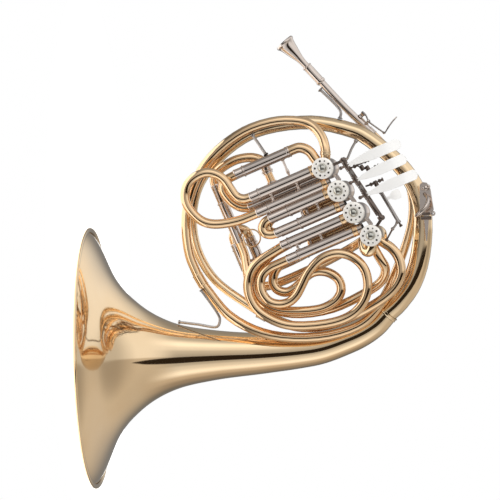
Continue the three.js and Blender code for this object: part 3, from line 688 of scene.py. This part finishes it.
def slide_set(slide, sleeves, stays, long_sleeve=None):
    """A slide and the sleeves it moves in, whose form and long sleeve's start are returned.

    stays are distances back from the mouths; a long sleeve, made elsewhere, is given by a point near its mouth.
    """
    centres, radii, first, last = slide_shape(slide)
    outer, moving, ferrules = Form(), Form(), Form()
    mouths = []
    for inner_end, bow_end in ((0, first), (-1, last)):
        a, b = centres[inner_end], centres[bow_end]
        d = unit(b - a)
        lo, hi = sleeve_reach(sleeves, a, b)
        mouth = a + d * hi
        mouths.append((mouth, d))
        if long_sleeve is None or np.linalg.norm(mouth - long_sleeve) > 10 * MM:
            outer.turned(sleeve_profile((hi - lo) / MM + 1.5), mouth, -d, 40)
        moving.tube([a, b + d * 2 * MM], LEG_R * MM, 28)
        gap = np.linalg.norm(b - mouth) / MM
        ferrules.turned([(LEG_R, 0.25), (5.95, 0.25), (6.05, 0.6), (6.05, gap + 4.6), (6.25, gap + 5.0),
                         (6.25, gap + 6.2), (6.0, gap + 6.8), (5.75, gap + 7.2), (LEG_R, gap + 7.2),
                         (LEG_R, 0.25)], mouth, d, 40)
    bow, width = spline(centres[first:last + 1], radii[first:last + 1], bend=4.0)
    moving.tube(bow, width, 32)
    moving.piece(slide + "_bow", BOW_BRASS, slide, slide)
    ferrules.piece(slide + "_ferrules", NICKEL, slide)
    (m0, d), (m1, _) = mouths
    for back in stays:
        p0 = m0 - d * back * MM
        p1 = m1 + d * (np.dot(m0 - m1, d) - back * MM)
        across = unit(p1 - p0)
        stay(outer, p0 + across * STAY_FOOT, p1 - across * STAY_FOOT)
    if long_sleeve is not None:
        mouth = min((m for m, _ in mouths), key=lambda m: np.linalg.norm(m - long_sleeve))
        outer.turned(sleeve_profile(4.0), mouth, -d, 40)
        return outer, mouth - d * 2.6 * MM
    return outer, None


STAYS = {"f1": [10, 44], "f2": [9, 30], "f3": [9, 40], "b2": [14], "b3": [14]}
for name, stays in STAYS.items():
    outer, _ = slide_set("slide_" + name, ["sleeves_" + name], stays)
    outer.piece(f"sleeves_{name}_tubes", NICKEL, "horn", "sleeves_" + name)

# first B flat slide: its upper sleeve is the long tube that turns down into the first valve
LONG_TOP = [(-36, 35), (-28, 35.3), (-20, 34.4), (-13.5, 30), (-9.6, 24), (-7.4, 15), (-6.2, 10.5)]
outer, start = slide_set("slide_b1", ["sleeves_b1"], [30], long_sleeve=valve(-90, -6.5, 35))
outer.tube([start, valve(-33, -6.5, 35)], SLEEVE_R * MM, 36)
outer.piece("sleeves_b1_tubes", NICKEL, "horn", "sleeves_b1")
bend, _ = spline([valve(x, -6.5, z) for x, z in LONG_TOP])
Form().tube(bend, (SLEEVE_R - 0.2) * MM, 36).piece("first_valve_bend", BOW_BRASS, "horn")
ferrule("first_valve_collar", valve(-36.5, -6.5, 35), valve(-32, -6.5, 35), SLEEVE_R, lip=0.35)

# fixed tubes between the valves' ports, seen between the slide legs
PORT_R, PORT_DEPTH = 5.9, 7
ports = Form()
for z, x0, x1 in ((-41, -44, -4), (-76.4, -52, 4)):
    ports.tube([valve(x0, PORT_DEPTH, z), valve(x1, PORT_DEPTH, z)], PORT_R * MM, 28)
    ports.ball(valve(x0, PORT_DEPTH, z), PORT_R)
ports.piece("port_tubes", BOW_BRASS, "horn")

# short return bend below the fourth valve
CROOK = [(18, -22, -106), (16, -22, -112), (11, -20.5, -115.5), (7, -17.5, -113), (6.5, -14, -106),
         (9, -12, -99)]
crook, _ = spline([valve(*q) for q in CROOK])
Form().tube(crook, 6.2 * MM, 32).piece("fourth_valve_crook", BRASS, "horn")

# short brass knuckles where the front sleeves enter the casings
FRONT_DEPTH = -20
KNUCKLES = {"f1": ((-14.0, 1.5), (-6.6, -19)), "f2": ((-9.6, -31.2), (-3.2, -50.5)),
            "f3": ((-2.8, -67.3), (5.2, -85.5))}
for name, ends in KNUCKLES.items():
    knuckle = Form()
    for x, z in ends:
        collar(knuckle, valve(x, FRONT_DEPTH, z), VALVE_X, SLEEVE_R, 6.5, 0.4)
    knuckle.piece(f"knuckles_{name}", BOW_BRASS, "horn")

# ---- rear tuning slides ----
right_c, right_r = stations("sleeve_tuning_right")
tuning_sleeves = ["sleeve_tuning_left", "sleeve_tuning_right"]
outer, _ = slide_set("slide_tuning", tuning_sleeves, [], long_sleeve=right_c[0])
line, width = spline(right_c, right_r)
outer.tube(line[1:], width[1:], 36)
outer.piece("tuning_sleeves", NICKEL, "horn", *tuning_sleeves)

# the small rear slide, in the valve frame: its legs' places, depth, inner ends, shoulder and top
SMALL_LEFT, SMALL_RIGHT, SMALL_DEPTH = -142, -123, 34
SMALL_INNER, SMALL_SHOULDER, SMALL_TOP = -70, -40, -25.4
SMALL_BOW_R = 5.7
PULL_RING_X, PULL_RING_Z, PULL_RING_DEPTH = -118, -42.4, 12.4
PULL_RING_R, PULL_WIRE_R = 10.3, 0.9


def small_slide():
    """The short U-shaped slide at the back, with its pull ring."""
    y = SMALL_DEPTH
    mid = (SMALL_LEFT + SMALL_RIGHT) / 2
    half = (SMALL_RIGHT - SMALL_LEFT) / 2
    rise = SMALL_TOP - SMALL_SHOULDER
    bend = [i * math.pi / 8 for i in range(9)]
    points = [valve(SMALL_LEFT, y, SMALL_SHOULDER - 4)]
    points += [valve(mid - half * math.cos(a), y, SMALL_SHOULDER + 4 + (rise - 4) * math.sin(a)) for a in bend]
    points.append(valve(SMALL_RIGHT, y, SMALL_SHOULDER - 4))
    bow, _ = spline(points, bend=4.0)
    moving = Form().tube(bow, SMALL_BOW_R * MM, 32)
    sleeves, ends = Form(), Form()
    for x in (SMALL_LEFT, SMALL_RIGHT):
        inner = valve(x, y, SMALL_INNER)
        moving.tube([inner, valve(x, y, SMALL_SHOULDER - 2)], LEG_R * MM, 28)
        lo, hi = sleeve_reach(["sleeves_small"], inner, valve(x, y, SMALL_SHOULDER - 6))
        mouth = inner + VALVE_Z * hi
        sleeves.turned(sleeve_profile((hi - lo) / MM), mouth, -VALVE_Z, 40)
        gap = np.linalg.norm(valve(x, y, SMALL_SHOULDER - 4) - mouth) / MM
        ends.turned([(LEG_R, 0.2), (6.15, 0.2), (6.3, 0.6), (6.3, gap + 2.6), (6.6, gap + 3.0),
                     (6.6, gap + 4.0), (5.8, gap + 4.8), (LEG_R, gap + 4.8), (LEG_R, 0.2)], mouth, VALVE_Z, 40)
    foot = STAY_FOOT / MM
    stay(sleeves, valve(SMALL_LEFT + foot, y, -66), valve(SMALL_RIGHT - foot, y, -66))
    sleeves.piece("small_sleeves", NICKEL, "horn", "sleeves_small")
    moving.turned([(1.4, 4.4), (2.4, 5.0), (1.5, 7.0), (1.5, 20.0), (2.2, 21.0), (2.2, 23.0), (0, 23.0)],
                  valve(-122.6, y, -32.8), -DEPTH, 24)
    section = np.arange(12) * math.pi / 6
    centre = valve(PULL_RING_X, PULL_RING_DEPTH, PULL_RING_Z)
    hoop = []
    for i in range(48):
        out = math.cos(i * math.pi / 24) * VALVE_X + math.sin(i * math.pi / 24) * VALVE_Z
        wire = PULL_WIRE_R * (np.cos(section)[:, None] * out + np.sin(section)[:, None] * DEPTH)
        hoop.append(centre + MM * (PULL_RING_R * out + wire))
    moving.rings(hoop, closed=True)
    moving.piece("slide_small_bow", BOW_BRASS, "slide_small", "slide_small")
    ends.piece("slide_small_ferrules", NICKEL, "slide_small")


small_slide()


# ---- finger levers ----
AXLE = unit(JOINT["lever_1_press"]["axis"])
HUBS = [np.array(JOINT[f"lever_{n}_press"]["pos_m"]) for n in (1, 2, 3)]
if np.dot(HUBS[2] - HUBS[0], AXLE) < 0:
    AXLE = -AXLE
LEVER_TIPS = [(101, -11), (100, -30.5), (105, -53)]
TIP_ROUND = 0.07
PLATE_WIDE, PLATE_NARROW = 13.0, 4.4
PLATE_FRONT = [(-1, -0.45), (-0.94, -0.75), (0, -0.6), (0.94, -0.75), (1, -0.45)]
PLATE_BACK = [(1, 0.45), (0.94, 0.75), (-0.94, 0.75), (-1, 0.45)]
PLATE_SECTION = PLATE_FRONT + PLATE_BACK


def touch_plate(form, hub, tip):
    """A lever's arm and touch: one plate, narrow and arched at the hub, broad and rounded at the tip."""
    run = tip - hub
    d = unit(run)
    across = unit(np.cross(d, DEPTH))
    rows = []
    steps = [i / 30 * (1 - TIP_ROUND) for i in range(31)]
    steps += [1 - TIP_ROUND * (1 - math.sin(i * math.pi / 16)) for i in range(1, 9)]
    for s in steps:
        spread = min(1.0, max(0.0, (s - 0.10) / 0.38)) ** 0.7
        half = (PLATE_NARROW + (PLATE_WIDE - PLATE_NARROW) * spread) / 2
        if s > 1 - TIP_ROUND:
            half *= max(0.12, math.sqrt(max(0.0, 1 - ((s - 1 + TIP_ROUND) / TIP_ROUND) ** 2)))
        rise = 1.5 + 11 * math.sin(min(1.0, s * 1.15) * math.pi / 2) - 7.5 * max(0.0, s - 0.75)
        mid = hub + run * s - DEPTH * rise * MM
        rows.append([mid + MM * (across * side * half + DEPTH * level) for side, level in PLATE_SECTION])
    form.rings(rows)


HUB_HALF = [(2.0, 5.4), (3.3, 5.4), (3.7, 4.8), (3.3, 4.2), (3.3, 1.2), (3.7, 0.8)]
HUB = [(r, -h) for r, h in HUB_HALF] + HUB_HALF[::-1] + [(2.0, -5.4)]
for n, (hub, (tx, tz)) in enumerate(zip(HUBS, LEVER_TIPS), 1):
    x0, y, z0 = (float((hub - V1) @ axis) / MM for axis in (VALVE_X, DEPTH, VALVE_Z))
    plate = Form()
    touch_plate(plate, hub + VALVE_X * 1.0 * MM, valve(tx, y, tz))
    plate.piece(f"lever_{n}_touch", TOUCH, f"lever_{n}", f"lever_{n}")
    link = Form()
    link.turned(HUB, hub, AXLE, 32)
    back = valve(x0 - 8, y + 4, z0)
    link.bar(valve(x0 - 2.6, y + 1, z0), back, 1.5)
    link.ball(back, 2.3)
    screw_at = valve(x0 + 3.6, y - 1.2, z0)
    link.turned([(0, 0), (1.5, 0), (1.5, 1.2), (0.9, 1.6), (0, 1.6)], screw_at, -DEPTH, 16)
    link.piece(f"lever_{n}_hub", DARK, f"lever_{n}")

lo_end, hi_end = along_axis("lever_axle", AXLE)
rod_end = np.linalg.norm(hi_end - lo_end) / MM
rod = Form().turned([(0, 0), (1.2, 0), (1.7, 0.5), (1.7, rod_end - 0.5), (1.2, rod_end), (0, rod_end)],
                    lo_end, AXLE, 24)
rod.piece("lever_rod", DARK, "horn", "lever_axle")

# the rack that carries the axle: posts at its ends, a rail behind it and feet on the casings
RAIL_Y, POST_LENGTH = -23, 16.6
rack = Form()
posts = [lo_end + AXLE * 3 * MM, hi_end - AXLE * 3 * MM]
feet = [np.array([q[0], valve(0, RAIL_Y, 0)[1], q[2]]) for q in posts]
for post, foot in zip(posts, feet):
    rack.turned([(1.75, -2.2), (3.4, -2.2), (3.8, -1.4), (3.8, 1.4), (3.4, 2.2), (1.75, 2.2), (1.75, -2.2)],
                post, AXLE, 32)
    rack.turned([(2.2, 2.8), (1.9, 5.0), (2.3, 7.0), (2.3, 8.0), (1.9, 10.0), (1.9, 14), (2.6, POST_LENGTH),
                 (0, POST_LENGTH)], post, DEPTH, 24)
    rack.ball(foot, 3.2)
rack.bar(feet[0], feet[1], 1.8)
rack.bar(feet[0], valve(10, RAIL_Y, -2), 1.8)
rack.bar(feet[1], valve(30, RAIL_Y, -92), 1.8)
rack.piece("lever_rack", DARK, "horn", "lever_bracket")

# spacer tubes on the axle between the hubs, given by their ends across the valves
spacers = Form()
GAPS = [(-15.8, -17.2), (-23.8, -25.2), (-36.8, -38.2), (-44.8, -46.2), (-57.8, -80.0)]
across_z = abs(float(np.dot(AXLE, VALVE_Z)))
for z_from, z_to in GAPS:
    a = HUBS[0] + AXLE * MM * (-10 - z_from) / across_z
    b = HUBS[0] + AXLE * MM * (-10 - z_to) / across_z
    length = np.linalg.norm(b - a) / MM
    spacers.turned([(1.85, 0), (3.0, 0), (3.3, 0.4), (3.3, length - 0.4), (3.0, length), (1.85, length),
                    (1.85, 0)], a, b - a, 28)
spacers.piece("axle_spacers", DARK, "horn")

# stop screws and bushes between the levers
screws = Form()
STOP_Y = -33.5
STOP_SCREW = [(0, -3.2), (1.6, -3.2), (2.3, -2.6), (2.3, -0.6), (1.5, -0.2), (1.5, 1.6), (2.5, 2.0), (2.5, 3.0),
              (1.9, 3.4), (0, 3.4)]
for x, z in ((38, -14.6), (52, -14.0), (53, -26.4), (61, -25.0), (48, -42.4), (59, -42.4)):
    screws.turned(STOP_SCREW, valve(x, STOP_Y, z), VALVE_X, 20)
for x, z in ((38, -14.6), (48, -42.4)):
    screws.bar(valve(x, STOP_Y, z), valve(x + 14, STOP_Y, z), 0.9)
    screws.bar(valve(x - 3, STOP_Y, z), valve(x - 9, -24, z + 1), 1.1)
screws.bar(valve(50, STOP_Y, -25.7), valve(62, STOP_Y, -25.7), 0.9)
STOP_BUSH = [(1.0, -3.4), (2.2, -3.4), (2.8, -2.8), (2.8, 2.8), (2.2, 3.4), (1.0, 3.4), (1.0, -3.4)]
for x, z in ((44, -19.5), (50, -23.0), (52, -43.6)):
    screws.turned(STOP_BUSH, valve(x, STOP_Y + 1, z), AXLE, 24)
screws.piece("lever_stops", DARK, "horn")


def coil(form, a, b, r, turns, gauge):
    """A wire spring wound on the line from a to b."""
    d = unit(b - a)
    u, v = sideways(d)
    n = int(turns * 20)
    turn = [i * math.pi / 10 for i in range(n + 1)]
    line = [a + (b - a) * i / n + r * MM * (math.cos(t) * u + math.sin(t) * v) for i, t in enumerate(turn)]
    form.tube(line, gauge * MM, 8)


for n in (1, 2):
    lo, hi = along_axis(f"lever_spring_{n}", AXLE)
    on_axle = HUBS[0] + AXLE * np.dot((lo + hi) / 2 - HUBS[0], AXLE)
    spring = Form()
    coil(spring, on_axle - AXLE * 3.2 * MM, on_axle + AXLE * 3.2 * MM, 2.6, 6, 0.45)
    spring.piece(f"lever_spring_{n}_wire", STEEL, "horn", f"lever_spring_{n}")

# stay from the rack's upper end to the branch
stay_line, _ = spline([valve(28.5, -27, -3), valve(31, -18, -1), valve(38, -4, 8), lay(61, 12, 118)])
rack_stay = Form().tube(stay_line, 1.5 * MM, 16)
rack_stay.ball(stay_line[0], 2.4)
rack_stay.ball(stay_line[-1], 2.6)
rack_stay.piece("rack_stay", STEEL, "horn")

# ---- thumb lever ----
T_AXIS = unit(JOINT["thumb_lever_press"]["axis"])
t_lo, t_hi = along_axis("thumb_axle", T_AXIS)
t_len = np.linalg.norm(t_hi - t_lo) / MM
t_half = [(0, 0), (1.9, 0), (2.1, 0.4), (2.1, 2.0), (1.3, 2.6)]
rod = Form().turned(t_half + [(r, t_len - h) for r, h in reversed(t_half)], t_lo, T_AXIS, 24)
rod.piece("thumb_rod", DARK, "horn", "thumb_axle")
HUB_FROM, HUB_TO = valve(52, -20, -54), valve(58, -20, -98)
LINK_FROM, LINK_TO = valve(47, -13, -101), valve(35, -10, -110)
run = np.linalg.norm(HUB_TO - HUB_FROM) / MM
end = [(1.8, 0), (2.5, 0), (2.8, 0.5), (2.8, 2.2), (2.3, 3.0)]
profile = end + [(r, run - h) for r, h in reversed(end)] + [(1.8, 0)]
thumb = Form().turned(profile, HUB_FROM, HUB_TO - HUB_FROM, 28)
crank, _ = spline([valve(57.6, -18.6, -92), valve(53, -16, -98), LINK_FROM])
thumb.tube(crank, 1.3 * MM, 16)
thumb.ball(LINK_FROM, 2.2)
thumb.piece("thumb_hub", STEEL, "thumb_lever", "thumb_lever")
PAD_SECTION = [(-1, -0.5), (0, -0.7), (1, -0.5), (1, 0.5), (0, 0.3), (-1, 0.5)]
PAD_NARROW, PAD_FLARE, PAD_LONG = 2.0, 3.8, 18.5
PAD_ROUND = 0.85
rows = []
for i in range(17):
    s = i / 16
    half = PAD_NARROW + PAD_FLARE * math.sin(min(1.0, max(0.0, (s - 0.25) / 0.35)) * math.pi / 2)
    if s > PAD_ROUND:
        half *= max(0.2, math.sqrt(1 - ((s - PAD_ROUND) / 0.153) ** 2))
    mid = valve(55.5 + PAD_LONG * s, -20.2 - 0.9 * math.sin(s * math.pi), -65)
    rows.append([mid + MM * (side * half * VALVE_Z + level * DEPTH) for side, level in PAD_SECTION])
Form().rings(rows).piece("thumb_touch", TOUCH, "thumb_lever")
link = Form().bar(LINK_FROM, LINK_TO, 1.1)
link.ball(LINK_TO, 2.0)
link.piece("thumb_link", DARK, "thumb_lever")

# ---- braces ----
def brace(node, foot=3.2):
    """A curved round rod with a turned foot at each end."""
    centres, radii = stations(node)
    line, width = spline(centres, radii)
    form = Form().tube(line, width, 20)
    r = width[0] / MM
    for end, ahead in ((line[0], line[1]), (line[-1], line[-2])):
        form.turned([(0, 0), (foot, 0), (foot, 0.5), (r + 0.5, 1.5), (r, 2.6), (0, 2.6)], end, ahead - end, 28)
    form.piece(node + "_rod", STEEL, "horn", node)


brace("bell_brace", 2.4)
brace("leadpipe_brace")
brace("top_brace")

# ---- water key ----
KEY_T = 0.665 * LAY_X - 0.747 * LAY_Z
KEY_N = 0.747 * LAY_X + 0.665 * LAY_Z
HINGE_T, HINGE_N, LUG = 11, 9.3, 4.4


def key(t, n, y=0.0):
    """A point beside the leadpipe: along it, away from it and in depth, in millimetres."""
    return lay(59, 42, 144) + MM * (t * KEY_T + n * KEY_N + y * DEPTH)


nipple = [(1.5, 5.3), (3.2, 5.3), (3.0, 5.9), (2.5, 6.4), (2.4, 8.4), (1.5, 8.6), (1.5, 5.3)]
mount = Form().turned(nipple, key(0, 0), KEY_N, 28)
mount.bar(key(2.6, 6.2), key(14, 6.2), 0.9, 14)
for side in (-LUG, LUG):
    mount.bar(key(HINGE_T, 5.9, side), key(HINGE_T, 10.4, side), 1.2, 16)
    mount.turned([(0, 0), (1.7, 0), (1.7, 0.7), (1.1, 1.1), (0, 1.1)], key(HINGE_T, HINGE_N, side * 1.2),
                 DEPTH * side, 16)
mount.bar(key(HINGE_T, 6.2, -LUG), key(HINGE_T, 6.2, LUG), 0.9, 14)
mount.bar(key(HINGE_T, HINGE_N, -LUG), key(HINGE_T, HINGE_N, LUG), 0.6, 14)
mount.piece("water_key_mount", NICKEL, "horn", "water_key_saddle")
barrel = [(0.9, -2.6), (1.9, -2.6), (2.1, -2.0), (1.8, -1.5), (1.8, 1.5), (2.1, 2.0), (1.9, 2.6), (0.9, 2.6),
          (0.9, -2.6)]
lever = Form().turned(barrel, key(HINGE_T, HINGE_N), DEPTH, 24)
reach, _ = spline([key(9.6, 9.8), key(6, 11.2), key(3, 12), key(0, 12.2)])
lever.tube(reach, 1.0 * MM, 14)
lever.turned([(0, 10.2), (3.0, 10.2), (3.1, 10.6), (3.1, 12.0), (2.3, 12.8), (0, 12.8)], key(0, 0), KEY_N, 28)
ARM_END = lay(92, 39, 127.5)
lever.bar(key(12.4, 9.0), ARM_END, 1.0, 14)
lever.ball(ARM_END, 1.7)
lever.piece("water_key_lever", STEEL, "water_key", "water_key")
BLADE_HALF = 3.4
edge = unit(-0.78 * LAY_X + 0.62 * LAY_Z) * 0.6 * MM
blade = []
for i in range(13):
    s = i / 12
    mid = lay(93 + 15.5 * s, 38.6, 126.5 + 20 * s + 1.6 * math.sin(s * math.pi))
    half = BLADE_HALF * math.sqrt(max(0.03, 1 - max(0.0, (s - 0.8) / 0.2) ** 2)) * min(1.0, 0.45 + s * 2)
    side = MM * half * DEPTH
    blade.append([mid + side + edge, mid + side - edge, mid - side - edge, mid - side + edge])
Form().rings(blade).piece("water_key_touch", NICKEL, "water_key", bevel=0.15)

# ---- finger hook and its plate ----
HOOK_Y = 13.4


def flat_plate(form, outline, y0, y1):
    """A plate between two depths from an outline in the lay plane."""
    form.slab([lay(x, y0, z) for x, z in outline], [lay(x, y1, z) for x, z in outline])


hook = Form()
flat_plate(hook, [(137.2, 63.6), (141, 66.4), (146, 65.6), (150.2, 57.8), (153.4, 33), (150.8, 27.6),
                  (138.4, 27.6), (136.4, 31), (136.6, 47)], HOOK_Y, HOOK_Y + 1.8)
flat_plate(hook, [(141, 26.5), (148, 26.5), (147.2, 20), (146, 8), (144.6, -5), (143.2, -5), (142, 8),
                  (141.4, 20)], HOOK_Y, HOOK_Y + 1.6)
hook.piece("hook_base", NICKEL, "horn", "hook_plate", bevel=0.35)
clamp_and_shade, eyes = Form(), Form()
# dark bars of the clamp: the thin one joins the eyes, the wide one below is painted shade
clamp_and_shade.bar(lay(136.6, 12.2, 28.2), lay(152.2, 12.2, 28.2), 1.6)
for x in (136.4, 152.4):
    eyes.turned([(1.3, -2.6), (2.6, -2.6), (3.1, -2.1), (3.1, 2.1), (2.6, 2.6), (1.3, 2.6), (1.3, -2.6)],
                lay(x, 12.0, 28.2), DEPTH, 24)
# wide dark rod under the eyes: painted shade for the shadowed band between them, more than a real part
clamp_and_shade.bar(lay(138, 12.6, 22.8), lay(150.6, 12.6, 22.8), 2.2)
clamp_and_shade.piece("hook_clamp_and_shade_bar", DARK, "horn")
eyes.piece("hook_eyes", NICKEL, "horn")
line, width = spline(*stations("finger_hook"))
bent = Form().tube(line, width, 24)
for end in (line[0], line[-1]):
    bent.ball(end, 2.1)
bent.piece("finger_hook_rod", NICKEL, "finger_hook", "finger_hook")
screw = Form().turned([(0, 0), (1.4, 0), (1.4, 3), (2.6, 3), (2.9, 3.4), (2.9, 5.4), (2.2, 6.0), (0, 6.4)],
                      lay(145, 12.9, 59), -DEPTH, 24)
for side in (-1, 1):
    screw.ball(lay(145 + 3.4 * side, 8.4, 59.8 + 1.2 * side), 2.3, axis=LAY_X)
screw.piece("hook_thumb_screw", NICKEL, "horn", "hook_screw")

# ---- camera, light and floor ----
VIEW_YAW, VIEW_ROLL = math.radians(7.6), math.radians(1.45)
FRAME_WIDTH = 605 * MM
LENS, SENSOR = 1000.0, 36.0
CLIP_NEAR, CLIP_FAR = 0.1, 5
towards = unit([0.0, -math.cos(VIEW_YAW), math.sin(VIEW_YAW)])
level = np.array([0.0, math.sin(VIEW_YAW), math.cos(VIEW_YAW)])
upright = np.cross(towards, level)
right = unit(level * math.cos(VIEW_ROLL) - upright * math.sin(VIEW_ROLL))
up = np.cross(towards, right)
AIM = lay(-69.9, 0, -10.4)


def camera():
    data = bpy.data.cameras.new("camera")
    data.lens = LENS
    data.sensor_width = SENSOR
    distance = FRAME_WIDTH * LENS / SENSOR
    data.clip_start = distance * CLIP_NEAR
    data.clip_end = distance * CLIP_FAR
    cam = bpy.data.objects.new("camera", data)
    bpy.context.scene.collection.objects.link(cam)
    basis = Matrix(np.column_stack([right, up, towards]).tolist()).to_4x4()
    cam.matrix_world = Matrix.Translation(Vector(AIM + towards * distance)) @ basis
    bpy.context.scene.camera = cam


camera()


# brightness of the studio round the object, against the share of a turn below the camera
AROUND = [(0.0, 0.22), (0.14, 0.30), (0.236, 0.42), (0.306, 0.55), (0.375, 1.30), (0.417, 0.95), (0.458, 0.6),
          (0.5, 0.45), (0.583, 0.5), (0.625, 0.8), (0.689, 1.2), (0.745, (0.62, 0.55, 0.48)),
          (0.811, (0.34, 0.30, 0.26)), (0.9, 0.18), (1.0, 0.22)]
# the same across, from the far left to the far right, and how much of it lies below and above the horizon
SIDE = [(0.0, 0.20), (0.2, 0.14), (0.5, 0.42), (0.75, 0.98), (0.92, 0.98), (1.0, 0.6)]
HORIZON = [(0.0, (0.56, 0.52, 0.47)), (0.485, (0.66, 0.62, 0.57)), (0.505, 1.0), (1.0, 1.0)]
# the dark gap: where it is and its half width round the turn, how far across it ends, its edge and colour
GAP_AT, GAP_HALF, GAP_END = 0.5395, 0.0365, 0.90
GAP_EDGE, GAP_COLOUR = 150.0, (0.025, 0.018, 0.012, 1.0)


def world():
    """White studio all round, with one long dark gap beside the camera and a dimmer far side."""
    w = bpy.data.worlds.new("studio")
    bpy.context.scene.world = w
    w.use_nodes = True
    nt = w.node_tree
    back = nt.nodes["Background"]
    place = nt.nodes.new("ShaderNodeTexCoord")

    def node(kind, **values):
        n = nt.nodes.new(kind)
        for k, v in values.items():
            setattr(n, k, v)
        return n

    def dot(axis):
        n = node("ShaderNodeVectorMath", operation="DOT_PRODUCT")
        nt.links.new(place.outputs["Generated"], n.inputs[0])
        n.inputs[1].default_value = tuple(axis)
        return n.outputs["Value"]

    def math_node(op, a, b=None):
        n = node("ShaderNodeMath", operation=op)
        for i, v in enumerate((a, b)):
            if v is None:
                continue
            if isinstance(v, (int, float)):
                n.inputs[i].default_value = v
            else:
                nt.links.new(v, n.inputs[i])
        return n.outputs[0]

    def mixed(factor, a, b):
        n = node("ShaderNodeMix", data_type="RGBA")
        nt.links.new(factor, n.inputs["Factor"])
        for key, v in (("A", a), ("B", b)):
            if isinstance(v, tuple):
                n.inputs[key].default_value = v
            else:
                nt.links.new(v, n.inputs[key])
        return n.outputs["Result"]

    def ramp(value, stops):
        n = node("ShaderNodeValToRGB")
        n.color_ramp.interpolation = "EASE"
        while len(n.color_ramp.elements) < len(stops):
            n.color_ramp.elements.new(0.5)
        for e, (at, level) in zip(n.color_ramp.elements, stops):
            e.position = at
            e.color = (*level, 1) if isinstance(level, tuple) else (level, level, level, 1)
        nt.links.new(value, n.inputs["Fac"])
        return n.outputs["Color"]

    u, r, c = dot(up), dot(right), dot(towards)
    # angle below the camera, as a share of a whole turn: 0.5 ahead of the camera, 0.75 straight down
    angle = math_node("ARCTAN2", math_node("MULTIPLY", u, -1.0), c)
    turn = math_node("ADD", math_node("DIVIDE", angle, 2 * math.pi), 0.5)
    around = ramp(turn, AROUND)
    side = ramp(math_node("ADD", math_node("MULTIPLY", r, 0.5), 0.5), SIDE)
    halves = ramp(math_node("ADD", math_node("MULTIPLY", u, 0.5), 0.5), HORIZON)
    split = node("ShaderNodeMix", data_type="RGBA", blend_type="MULTIPLY")
    split.inputs["Factor"].default_value = 1.0
    nt.links.new(side, split.inputs["A"])
    nt.links.new(halves, split.inputs["B"])
    off = math_node("ABSOLUTE", r)
    sideways_share = ramp(off, [(0.0, 0.0), (0.2, 0.0), (0.75, 1.0), (1.0, 1.0)])
    shown = mixed(sideways_share, around, split.outputs["Result"])
    # the dark gap is a lens: it closes towards both sides
    along = math_node("POWER", math_node("DIVIDE", off, GAP_END), 2.0)
    reach = math_node("MAXIMUM", math_node("SUBTRACT", 1.0, along), 0.0)
    half = math_node("MULTIPLY", math_node("SQRT", reach), GAP_HALF)
    away = math_node("ABSOLUTE", math_node("SUBTRACT", turn, GAP_AT))
    inside = math_node("MULTIPLY", math_node("SUBTRACT", half, away), GAP_EDGE)
    inside = ramp(inside, [(0.0, 0.0), (1.0, 1.0)])
    shown = mixed(inside, shown, GAP_COLOUR)
    # seen directly the studio is plain white
    path_info = node("ShaderNodeLightPath")
    final = mixed(path_info.outputs["Is Camera Ray"], shown, (1.0, 1.0, 1.0, 1.0))
    nt.links.new(final, back.inputs["Color"])
    back.inputs["Strength"].default_value = 1.0


world()


KEY_ENERGY, KEY_SPREAD = 2.2, math.radians(40)


def key_light():
    """Soft light from above the camera for the plated faces; polished metal mirrors the studio instead."""
    lamp = bpy.data.lights.new("key", "SUN")
    lamp.energy = KEY_ENERGY
    lamp.angle = KEY_SPREAD
    obj = bpy.data.objects.new("key", lamp)
    bpy.context.scene.collection.objects.link(obj)
    obj.rotation_euler = Vector(towards + up * 0.7 + right * 0.25).to_track_quat("Z", "Y").to_euler()
    obj.visible_glossy = False
    lamp.use_shadow = False


key_light()
bpy.context.scene.view_settings.view_transform = "Standard"


FLOOR_R, FLOOR_Z = 340 * MM, -0.4 * MM
FLOOR_GLOW = 0.75


def floor():
    """A plain pale disc under the bell."""
    turn = [i * math.pi / 32 for i in range(64)]
    ring = [(FLOOR_R * math.cos(t), FLOOR_R * math.sin(t), FLOOR_Z) for t in turn]
    mesh = bpy.data.meshes.new("floor")
    mesh.from_pydata(ring, [], [tuple(range(64))])
    m = bpy.data.materials.new("floor")
    m.use_nodes = True
    bsdf = m.node_tree.nodes["Principled BSDF"]
    bsdf.inputs["Base Color"].default_value = (0.9, 0.9, 0.9, 1)
    bsdf.inputs["Roughness"].default_value = 0.9
    bsdf.inputs["Emission Color"].default_value = (1, 1, 1, 1)
    bsdf.inputs["Emission Strength"].default_value = FLOOR_GLOW
    mesh.materials.append(m)
    obj = bpy.data.objects.new("floor", mesh)
    bpy.context.scene.collection.objects.link(obj)
    obj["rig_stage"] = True


floor()

# ---- finishes of the pieces that keep their CAD shape ----
stood_for = {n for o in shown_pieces() if "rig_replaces" in o for n in o["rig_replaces"]}
for name, obj in frame["nodes"].items():
    if name in stood_for:
        continue
    material = CORK if name.endswith("cork") else STEEL
    obj.data.materials.clear()
    obj.data.materials.append(material)

lo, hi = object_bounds()
